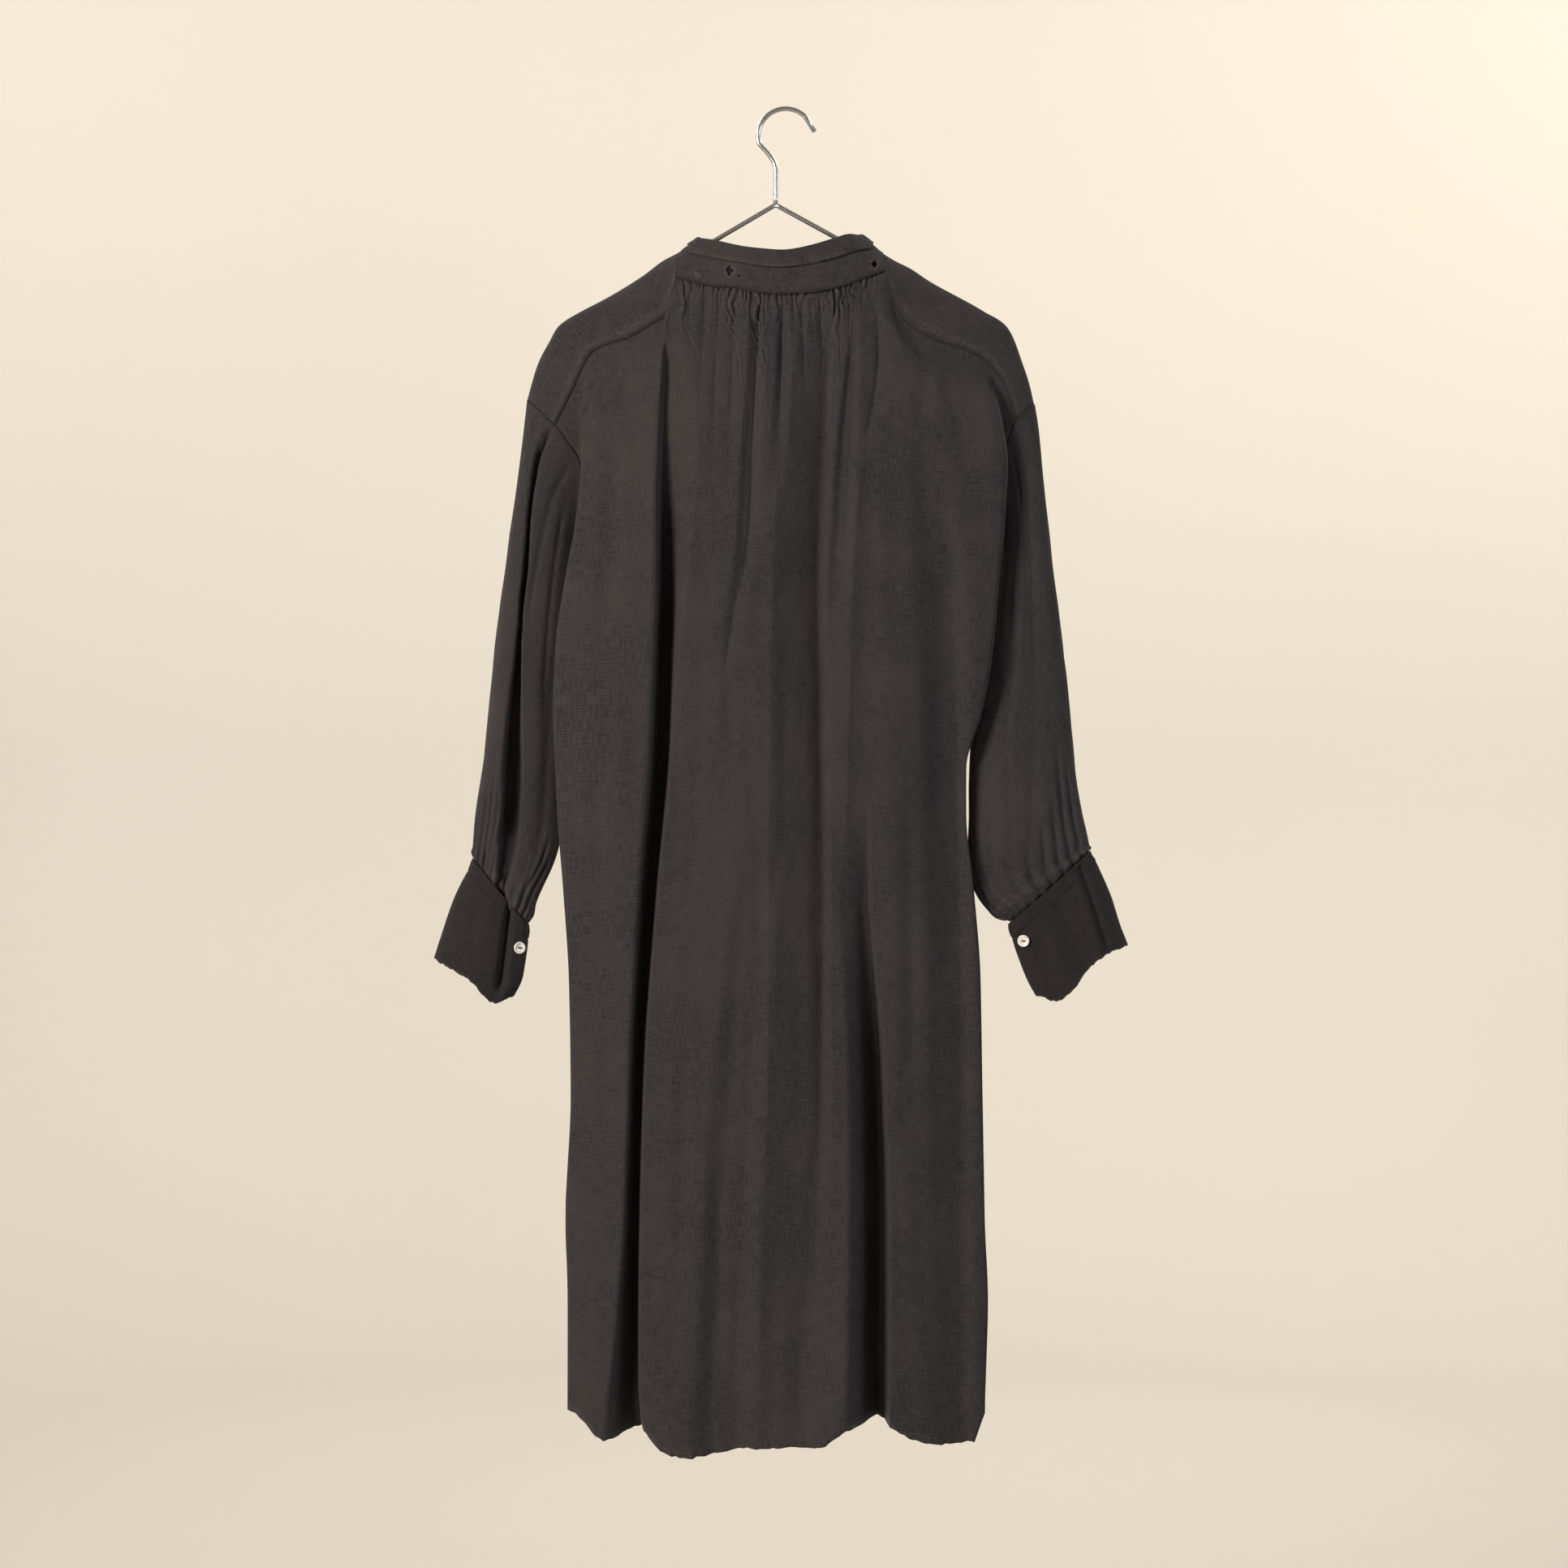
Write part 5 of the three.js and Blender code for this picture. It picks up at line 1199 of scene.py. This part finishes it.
def makeCollar():
    profile = np.array([
        [0.9, 0, 0], [3.0, 0.1, 0], [4.1, 1.1, 0], [3.0, 2.1, 0], [0, 2.3, 0.06], [0, 2.2, 0.34],
    ])
    fine = spline(profile, np.linspace(0, 5, 30))
    run = np.gradient(topLoop, axis=0)
    fall = seamLoop - topLoop
    outward = np.cross(fall, run)
    outward /= np.linalg.norm(outward, axis=1, keepdims=True)
    up = -fall / np.linalg.norm(fall, axis=1, keepdims=True)
    ripple = unevenness(topLoop[:, 0] + topLoop[:, 1], topLoop[:, 1], 22, 50, 51)
    grid = np.array([
        bandAt(down)[0] + up * rise + outward * (out + 0.5 * ripple[:, None] * down * 3)
        for rise, out, down in fine
    ])
    wearAndShade = 0.15 * np.exp(-(((1 - np.linspace(0, 1, 30)) / 0.06) ** 2))[:, None] * np.ones((1, grid.shape[1]))
    piece = clothPiece("turnedCollar", list(grid), list(gridLengths(grid)), bodyLinen, wearAndShade=list(wearAndShade), thickness=1.2)
    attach(piece, "root")
    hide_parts("collar")


makeYoke("left")
makeYoke("right")
makeBand()
makeInnerPly()
makeCollar()
print("yokes, band and collar")

# ---- sleeves

sleeveColumns = ["outX", "outZ", "inX", "inZ", "inY", "half", "valley", "valleyAt"]
sleeveSections = {
    "left": [
        [-248, -278, -192, -403, 5, 13, 0, 0.2], [-250, -296, -197, -413, 9, 13, 3, 0.2],
        [-253, -322, -200, -427, 10, 14, 5, 0.2], [-258, -361, -202, -452, 10, 15, 6, 0.22],
        [-265, -410, -205, -482, 9, 15, 7, 0.28], [-272, -460, -208, -512, 8, 16, 8, 0.3],
        [-279, -518, -211, -558, 8, 16, 9, 0.33], [-285, -575, -212, -605, 8, 15, 10, 0.34],
        [-290, -625, -214, -652, 7, 14, 11, 0.37], [-295, -660, -216, -692, 5, 13, 10, 0.4],
        [-298, -684, -224, -724, 3, 12, 7, 0.44], [-300, -704, -238, -757, 0, 11, 5, 0.48],
        [-300, -718, -247, -782, -2, 10, 3, 0.5],
    ],
    "right": [
        [239, -283, 192, -403, 5, 13, 0, 0.4], [243, -310, 199, -416, 10, 12, 0.6, 0.4],
        [247, -353, 200, -439, 11, 13, 0.6, 0.4], [254, -415, 196, -480, 10, 15, 0.6, 0.4],
        [262, -480, 190, -525, 9, 15, 0.6, 0.45], [268, -533, 186, -560, 8, 15, 0.6, 0.45],
        [273, -580, 179, -600, 3, 16, 0.6, 0.5], [278, -634, 176.5, -655, 0, 15, 0.6, 0.5],
        [284, -673, 175.5, -704, -3, 14, 0.6, 0.5], [289, -694, 177.5, -738, -4, 13, 0.6, 0.5],
        [291, -704, 190, -762, -5, 11, 0.6, 0.5], [292, -711, 212, -779, -6, 10, 0, 0.5],
    ],
}
sleeveValley = table(
    ["z", "half"],
    [
        [-293, 2.0], [-354, 3.6], [-440, 3.0], [-475, 2.2], [-519, 2.8], [-573, 5.6], [-634, 8.2],
        [-708, 8.0], [-770, 6.0],
    ],
)
sleeveLook = {"gathers": 24, "gatherDepth": 1.6, "tucked": 5.0}
# Creases on a sleeve's back: share of the way across and place down at each end, depth, half width.
sleeveCreases = {
    "left": [
        [0.66, 0.12, 0.72, 0.4, 1.6, 0.04], [0.8, 0.35, 0.76, 0.75, 1.4, 0.06],
        [0.16, 0.5, 0.2, 0.98, 2.4, 0.018],
        [0.24, 0.5, 0.27, 0.98, 2.6, 0.016], [0.1, 0.52, 0.12, 0.98, 1.8, 0.016],
        [0.32, 0.55, 0.34, 0.98, 2.0, 0.016],
        [0.5, 0.05, 0.42, 0.3, 1.6, 0.04], [0.88, 0.58, 0.8, 0.995, 2.6, 0.02],
        [0.94, 0.62, 0.88, 0.995, 2.4, 0.02],
    ],
    "right": [
        [0.3, 0.1, 0.42, 0.55, 1.8, 0.06], [0.66, 0.2, 0.6, 0.7, 1.6, 0.06],
        [0.08, 0.48, 0.09, 1.0, 3.2, 0.022],
        [0.16, 0.46, 0.2, 1.0, 3.8, 0.026], [0.25, 0.52, 0.32, 1.0, 3.8, 0.026],
        [0.36, 0.55, 0.46, 1.0, 3.8, 0.026],
        [0.5, 0.58, 0.6, 1.0, 3.2, 0.026], [0.68, 0.62, 0.72, 1.0, 2.4, 0.03],
        [0.82, 0.5, 0.78, 0.9, 1.4, 0.04],
        [0.12, 0.7, 0.14, 0.9, 1.6, 0.03],
    ],
}


def armholeRing(side):
    ring = [side.arch(8, archStops[a])[0] for a in range(3, -1, -1)]
    ring += list(sideEdgePoint(side, "back", np.arange(1, armholeRows + 1)))
    ring += list(sideEdgePoint(side, "front", np.arange(armholeRows - 1, -1, -1)))
    ring += [side.arch(8, archStops[a])[0] for a in (5, 4)]
    return np.array(ring)


def sleeveGrid(name):
    side = sides[name]
    ring = armholeRing(side)
    low = 3 + armholeRows
    n = len(ring)
    j = np.arange(n)
    half = np.where(j <= low, j / low, (n - j) / (n - low))
    shares = (1 - np.cos(np.pi * half)) / 2
    sections = table(sleeveColumns, sleeveSections[name])

    def frameOf(r):
        out = np.array([sections["outX"][r], 0, sections["outZ"][r]])
        end = np.array([sections["inX"][r], sections["inY"][r], sections["inZ"][r]])
        return out, end - out

    out, run = frameOf(0)
    length = np.linalg.norm(run)
    unit = run / length
    across = np.array([-unit[2], 0, unit[0]])
    across /= np.linalg.norm(across)
    d = ring - out
    shapeA, shapeOff = d @ unit / length, d @ across
    shapeY = d[:, 1] - (d @ unit) * unit[1]
    rows = [ring]
    face = np.where(j <= low, -1.0, 1.0)
    for r in range(1, len(sections["outX"])):
        out, run = frameOf(r)
        keep = [1, 0.62, 0.28, 0.08][r] if r < 4 else 0
        unit = run / np.linalg.norm(run)
        cross = np.array([-unit[2], 0, unit[0]])
        cross /= np.linalg.norm(cross)
        a = lerp(shares, shapeA, keep)
        oval = np.sqrt(np.maximum(0, 1 - (2 * shares - 1) ** 2)) * sections["half"][r] * face
        p = out + run * a[:, None] + cross * (shapeOff * keep)[:, None]
        p[:, 1] += lerp(oval, shapeY, keep)
        rows.append(p)
    return np.array(rows), low


def makeSleeve(name):
    grid, low = sleeveGrid(name)
    side = sides[name]
    sections = table(sleeveColumns, sleeveSections[name])
    n = grid.shape[1]
    rowsAt = np.concatenate([np.linspace(0, len(grid) - 3, 92)[:-1], np.linspace(len(grid) - 3, len(grid) - 1, 60)])
    turns = 132
    columnsAt = np.linspace(0, n, turns, endpoint=False)
    fine = denser(grid, rowsAt, columnsAt, ring=True)
    onBack = columnsAt <= low
    across = np.where(onBack, columnsAt / low, (n - columnsAt) / (n - low))
    shares = (1 - np.cos(np.pi * across)) / 2
    read = lambda column: spline(sections[column], rowsAt)
    run = np.hypot(read("inX") - read("outX"), read("inZ") - read("outZ"))[:, None]
    valleyWide = along(sleeveValley, "z", "half")(lerp(read("outZ"), read("inZ"), read("valleyAt")))[:, None]
    near = np.abs(shares[None, :] - read("valleyAt")[:, None]) * run / (valleyWide * np.where(onBack, 1, 2)[None, :])
    dip = 1.7 * read("valley")[:, None] * (1 - smooth((near - 0.7) / 0.6))
    fine[:, :, 1] += np.where(onBack[None, :], dip, -0.4 * dip)
    centre = fine.mean(axis=1, keepdims=True)
    outward = np.cross(np.gradient(fine, axis=0), np.roll(fine, -1, axis=1) - np.roll(fine, 1, axis=1))
    outward /= np.linalg.norm(outward, axis=2, keepdims=True)
    flip = np.sign((outward * (fine - centre)).sum(axis=2).mean())
    outward *= flip
    down = np.linspace(0, 1, len(rowsAt))[:, None]
    depth = np.zeros(fine.shape[:2])
    for a0, d0, a1, d1, deep, wide in sleeveCreases[name]:
        place = lerp(a0, a1, np.clip((down - d0) / (d1 - d0), 0, 1))
        within = smooth((down - d0) / 0.08 + 0.5) * smooth((d1 - down) / 0.1 + 0.5)
        bump_ = np.exp(-(((shares[None, :] - place) / wide) ** 2)) * within * deep
        depth += np.where(onBack[None, :], bump_, 0.8 * np.roll(bump_, 9, axis=1))
    lengthDown = -fine[:, :, 2]
    around = np.cumsum(np.full(turns, 1.0)) * 1.8
    soft = rumpled(around[None, :], lengthDown, [[0.8, 15, 110, 61 + side.sign], [0.5, 30, 34, 63]])
    soft = soft * smooth(down / 0.08) * smooth((1 - down) / 0.05)
    fromWrist = (rowsAt[-1] - rowsAt)[:, None] * 24.0
    rng = np.random.default_rng(71 + side.sign)
    reachOf, sizeOf = rng.uniform(9, 40, 40), rng.uniform(0.6, 1.2, 40)
    turn = columnsAt / n * sleeveLook["gathers"]
    which = turn.astype(int)
    fade = np.exp(-((fromWrist / reachOf[which]) ** 1.3)) * sizeOf[which]
    gather = sleeveLook["gatherDepth"] * np.cos(2 * np.pi * turn)[None, :] * fade
    gather = gather * smooth((fromWrist - 1.5) / 4)
    drawn = 1.6 * np.exp(-(((fromWrist - 11) / 6) ** 2)) - 2.2 * smooth(1 - fromWrist / 5)
    fine += outward * (gather - depth + soft + drawn)[:, :, None]
    tucked = fine[-1] - fine[-6]  # the gathered end runs on into the cuff
    tucked /= np.linalg.norm(tucked, axis=1, keepdims=True)
    fine += (sleeveLook["tucked"] * smooth(1 - fromWrist / 9))[:, :, None] * tucked[None]
    lengths = gridLengths(np.concatenate([fine, fine[:, :1]], axis=1))[:, :turns]
    sleeveFoldShade = 0.055 * dip * onBack[None, :]  # painted shade: the cloth darkened inside the fold
    # Painted shade: a dark line along the armhole seam and the painted fold shade; paler rubbed wear on the gathers.
    wearAndShade = -0.7 * np.exp(-((down / 0.006) ** 2)) + 0.12 * smooth(gather) - np.minimum(sleeveFoldShade, 0.5)
    piece = clothPiece(name + "Sleeve", list(fine), list(lengths), bodyLinen, ring=True, wearAndShade=list(wearAndShade))
    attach(piece, "root")
    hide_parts("sleeve_" + name)


makeSleeve("left")
makeSleeve("right")
print("sleeves")

# ---- cuffs and buttons

cuffColumns = ["outX", "outZ", "inX", "inZ", "outY", "inY", "half", "open"]
cuffSections = {
    "left": [
        [-300, -718, -247, -782, 0, -2, 10, 0], [-302.5, -723, -247.5, -788, 0, -2, 10.4, 0],
        [-306, -731, -248, -796, 0, -3, 10.5, 0.1], [-314, -749, -249, -808, 0, -4, 12, 0.3],
        [-322, -769, -251, -821, 0, -5, 13, 0.5], [-330, -791, -254, -835, 0, -5, 14, 0.75],
        [-338, -814, -261, -849, 0, -5, 15, 1],
    ],
    "right": [
        [292, -711, 214, -781, 0, -6, 10, 0], [294.5, -715, 215.5, -787, 0, -6, 10.4, 0],
        [299, -722, 218, -795, 0, -6, 10.5, 0.1], [306, -739, 222, -808, 0, -6, 12, 0.3],
        [313, -759, 227, -821, 0, -6, 13, 0.5], [320, -780, 233, -835, 0, -6, 14, 0.75],
        [328, -801, 240, -848, 0, -6, 15, 1],
    ],
}
cuffDrop = {
    "left": [[0, 0], [0.25, 1], [0.5, 4], [0.7, 15], [0.8, 15], [0.92, 5], [1, 0]],
    "right": [[0, 0], [0.2, -3], [0.45, 1], [0.6, 14], [0.78, 17], [0.9, 8], [1, 0]],
}
cuffLook = {"slit": 2.2, "flare": 9.0, "stripEnd": 1.9}
cuffCreases = {
    "left": [[0.68, 0.0, 0.76, 0.86, 9.0, 0.05], [0.3, 0.3, 0.38, 1.0, 1.2, 0.09]],
    "right": [
        [0.16, 0.1, 0.2, 0.95, 3.6, 0.03], [0.24, 0.2, 0.3, 1.0, -2.0, 0.04],
        [0.5, 0.3, 0.44, 1.0, 2.8, 0.08], [0.72, 0.35, 0.76, 1.0, 1.4, 0.06],
    ],
}


def cuffPoint(name, r, t):  # r counts sections from the wrist, t goes round from slit edge to slit edge
    sections = table(cuffColumns, cuffSections[name])
    read = lambda column: float(spline(sections[column], [r])[0])
    out = np.array([read("outX"), read("outY"), read("outZ")])
    run = np.array([read("inX"), read("inY"), read("inZ")]) - out
    gap = (cuffLook["slit"] + cuffLook["flare"] * max(0, read("open"))) / (2.25 * np.linalg.norm(run))
    turn = 2 * np.pi * (0.5 + gap / 2 + (1 - gap) * t)
    a = (1 - np.cos(turn)) / 2
    p = out + run * a[:, None]
    p[:, 1] -= read("half") * np.sin(turn)
    drop = along(table(["at", "drop"], cuffDrop[name]), "at", "drop")
    if r > 2:
        rounded = sum(drop(np.clip(a + off, 0, 1)) for off in (-0.06, -0.03, 0, 0.03, 0.06)) / 5
        p[:, 2] -= rounded * smooth((r - 2) / 4)
    return p, a, np.sin(turn) > 0


def makeCuff(name):
    rowsAt = np.concatenate([np.linspace(0, 2, 22)[:-1], np.linspace(2, 6, 62)])
    t = np.linspace(0, 1, 150)
    rows, a, onBack = zip(*[cuffPoint(name, r, t) for r in rowsAt])
    grid, a, onBack = np.array(rows), np.array(a), np.array(onBack)
    outward = np.cross(np.gradient(grid, axis=0), np.gradient(grid, axis=1))
    outward /= np.linalg.norm(outward, axis=2, keepdims=True)
    outward *= np.sign((outward * (grid - grid.mean(axis=1, keepdims=True))).sum(axis=2).mean())
    down = np.linspace(0, 1, len(rowsAt))[:, None]
    depth = np.zeros(a.shape)
    for a0, d0, a1, d1, deep, wide in cuffCreases[name]:
        place = lerp(a0, a1, np.clip((down - d0) / (d1 - d0), 0, 1))
        within = smooth((down - d0) / 0.1 + 0.5) * smooth((d1 - down) / 0.15 + 0.5)
        depth += np.exp(-(((a - place) / wide) ** 2)) * within * deep * onBack
    strip = smooth((cuffLook["stripEnd"] - rowsAt) / 0.15)[:, None]
    stripSeam = np.exp(-(((rowsAt - cuffLook["stripEnd"]) / 0.12) ** 2))[:, None]
    around = np.cumsum(np.linalg.norm(np.diff(grid[20], axis=0, prepend=grid[20][:1]), axis=1))
    pucker = 0.4 * np.cos(2 * np.pi * around / 6.5)[None, :] * np.exp(-(((rowsAt - 0.9) / 0.6) ** 2))[:, None]
    soft = rumpled(around[None, :], -grid[:, :, 2], [[0.9, 26, 40, 81], [0.3, 8, 14, 82]])
    grid += outward * (0.4 * strip - 0.4 * stripSeam + pucker - depth + soft * smooth(down / 0.2))[:, :, None]
    edge = 0.9 * unevenness(around, 0 * around, 3.0, 1, 83)
    grid[-1, :, 2] += edge
    # A paler rubbed edge at the cuff's end, and painted shade: a dark line along the strip's seam.
    wearAndShade = 0.3 * np.exp(-(((1 - down) / 0.012) ** 2)) - 0.3 * stripSeam + 0 * a
    piece = clothPiece(name + "Cuff", list(grid), list(gridLengths(grid)), cuffLinen, wearAndShade=list(wearAndShade), thickness=1.1)
    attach(piece, "root")
    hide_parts("cuff_" + name)


buttonLook = {
    "diameter": 11.5, "thick": 2.2, "seat": 0.62 + 0.65,
    "places": {"left": (3.0, 20 / 22), "right": (2.6, 20 / 22)},
}


def latheMesh(profile, sides):
    verts = [(r * math.cos(2 * math.pi * k / sides), r * math.sin(2 * math.pi * k / sides), z) for r, z in profile for k in range(sides)]
    faces = [
        (i * sides + k, i * sides + (k + 1) % sides, (i + 1) * sides + (k + 1) % sides, (i + 1) * sides + k)
        for i in range(len(profile) - 1) for k in range(sides)
    ]
    return verts, faces


def makeButton(name):
    r0, t0 = buttonLook["places"][name]
    centre = cuffPoint(name, r0, np.array([t0]))[0][0]
    acrossRun = cuffPoint(name, r0, np.array([t0 - 0.04, t0 + 0.04]))[0]
    downRun = [cuffPoint(name, r, np.array([t0]))[0][0] for r in (r0 - 0.5, r0 + 0.5)]
    out = Vector(np.cross(acrossRun[1] - acrossRun[0], downRun[1] - downRun[0])).normalized()
    if out.y > 0:
        out = -out
    r, h = buttonLook["diameter"] / 2, buttonLook["thick"]
    profile = [(0.01, 0), (0.5 * r, 0.0), (0.8 * r, 0.1 * h), (0.95 * r, 0.32 * h), (r, 0.6 * h), (0.97 * r, 0.85 * h),
               (0.9 * r, 0.98 * h), (0.82 * r, h), (0.74 * r, 0.95 * h), (0.66 * r, 0.76 * h), (0.58 * r, 0.66 * h), (0.01, 0.62 * h)]
    verts, faces = latheMesh(profile, 48)
    turn = out.to_track_quat("Z", "Y").to_matrix()
    base = Vector(centre) + out * buttonLook["seat"]
    place = lambda p: tuple(base + turn @ Vector(p))
    piece = meshObject(name + "Button", [place(p) for p in verts], faces, pearl)
    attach(piece, "root")
    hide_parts("button_" + name)
    stitchVerts, stitchFaces = [], []
    for offset in (-0.35, 0.0, 0.35):
        points = [(-1.9, offset, 0.5 * h), (-1.4, offset, 0.9 * h), (0, offset, 0.98 * h), (1.4, offset, 0.9 * h), (1.9, offset, 0.5 * h)]
        v, f = tubeMesh(np.array(points, float), 0.3, 6)
        stitchFaces += [tuple(i + len(stitchVerts) for i in face) for face in f]
        stitchVerts += [place(p) for p in v]
    shank, shankFaces = tubeMesh(np.array([(0, 0, -1.1), (0, 0, -0.4), (0, 0, 0.2)], float), 0.9, 8)
    stitchFaces += [tuple(i + len(stitchVerts) for i in face) for face in shankFaces]
    stitchVerts += [place(p) for p in shank]
    stitches = meshObject(name + "ButtonThread", stitchVerts, stitchFaces, thread)
    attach(stitches, "root")


def tubeMesh(points, radius, sides):
    run = np.gradient(points, axis=0)
    run /= np.linalg.norm(run, axis=1, keepdims=True)
    side = np.cross(run[0], [0.3, 0.9, 0.2])
    verts = []
    radii = np.broadcast_to(radius, len(points))
    for p, d, r in zip(points, run, radii):
        side = side - d * (side @ d)
        side /= np.linalg.norm(side)
        other = np.cross(d, side)
        for k in range(sides):
            a = 2 * math.pi * k / sides
            verts.append(tuple(p + (side * math.cos(a) + other * math.sin(a)) * r))
    faces = [
        (i * sides + k, i * sides + (k + 1) % sides, (i + 1) * sides + (k + 1) % sides, (i + 1) * sides + k)
        for i in range(len(points) - 1) for k in range(sides)
    ]
    faces += [tuple(range(sides))[::-1], tuple(range((len(points) - 1) * sides, len(points) * sides))]
    return verts, faces


for name in ("left", "right"):
    makeCuff(name)
    makeButton(name)
print("cuffs and buttons")

# ---- hanger

hangerLook = {
    "radius": 2.35, "hookRadius": 26.4, "stemX": -9.6, "apexZ": -90.0, "corner": 9.0,
    "arms": {-1: (0.586, -206.0), 1: (0.548, 195.0)}, "sides": 20,
}


def hookPath():
    radius = hangerLook["hookRadius"]
    centre = hangerLook["radius"] - radius
    a = np.radians(np.linspace(44, 196, 40))
    points = [(27.8, 0, -19.8)] + [(radius * math.cos(t), 0, centre + radius * math.sin(t)) for t in a]
    stem = hangerLook["stemX"]
    lower = spline(np.array([points[-1], (-16.4, 0, -41.4), (-12, 0, -47.8), (-10.1, 0, -52.4), (stem, 0, -58), (stem, 0, -91)]), np.linspace(0, 5, 26))
    return np.concatenate([np.array(points), lower[1:]])


def armPath(sign):
    slope, bendX = hangerLook["arms"][sign]
    tilt = math.atan(slope)
    stem, apex, corner = hangerLook["stemX"], hangerLook["apexZ"], hangerLook["corner"]
    lineZ = apex - slope * abs(bendX - stem)
    centreZ = lineZ - corner / math.cos(tilt)
    a = np.linspace(math.pi / 2 - tilt, -math.pi / 2, 18)
    bend = [(bendX + sign * corner * math.cos(t), 0, centreZ + corner * math.sin(t)) for t in a]
    start = [(stem - sign * 1.5, 0, apex + slope * 1.5)]
    line = [(lerp(stem, bend[0][0], t), 0, lerp(apex, bend[0][2], t)) for t in np.linspace(0.02, 0.98, 20)]
    return np.array(start + line + bend), centreZ - corner


def makeHanger():
    left, leftBar = armPath(-1)
    right, rightBar = armPath(1)
    middle = (leftBar + rightBar) / 2
    bar = lambda a, b: np.array([(x, 0, lerp(a[2], middle, t)) for t, x in zip(np.linspace(0.03, 1, 16), np.linspace(a[0], b, 17)[1:])])
    paths = [hookPath(), np.concatenate([left, bar(left[-1], 2)]), np.concatenate([right, bar(right[-1], -2)])]
    verts, faces = [], []
    for path in paths:
        v, f = tubeMesh(path, hangerLook["radius"], hangerLook["sides"])
        faces += [tuple(i + len(verts) for i in face) for face in f]
        verts += v
    piece = meshObject("wireHanger", verts, faces, wire)
    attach(piece, "root")
    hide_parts("hanger")


makeHanger()
print("hanger")
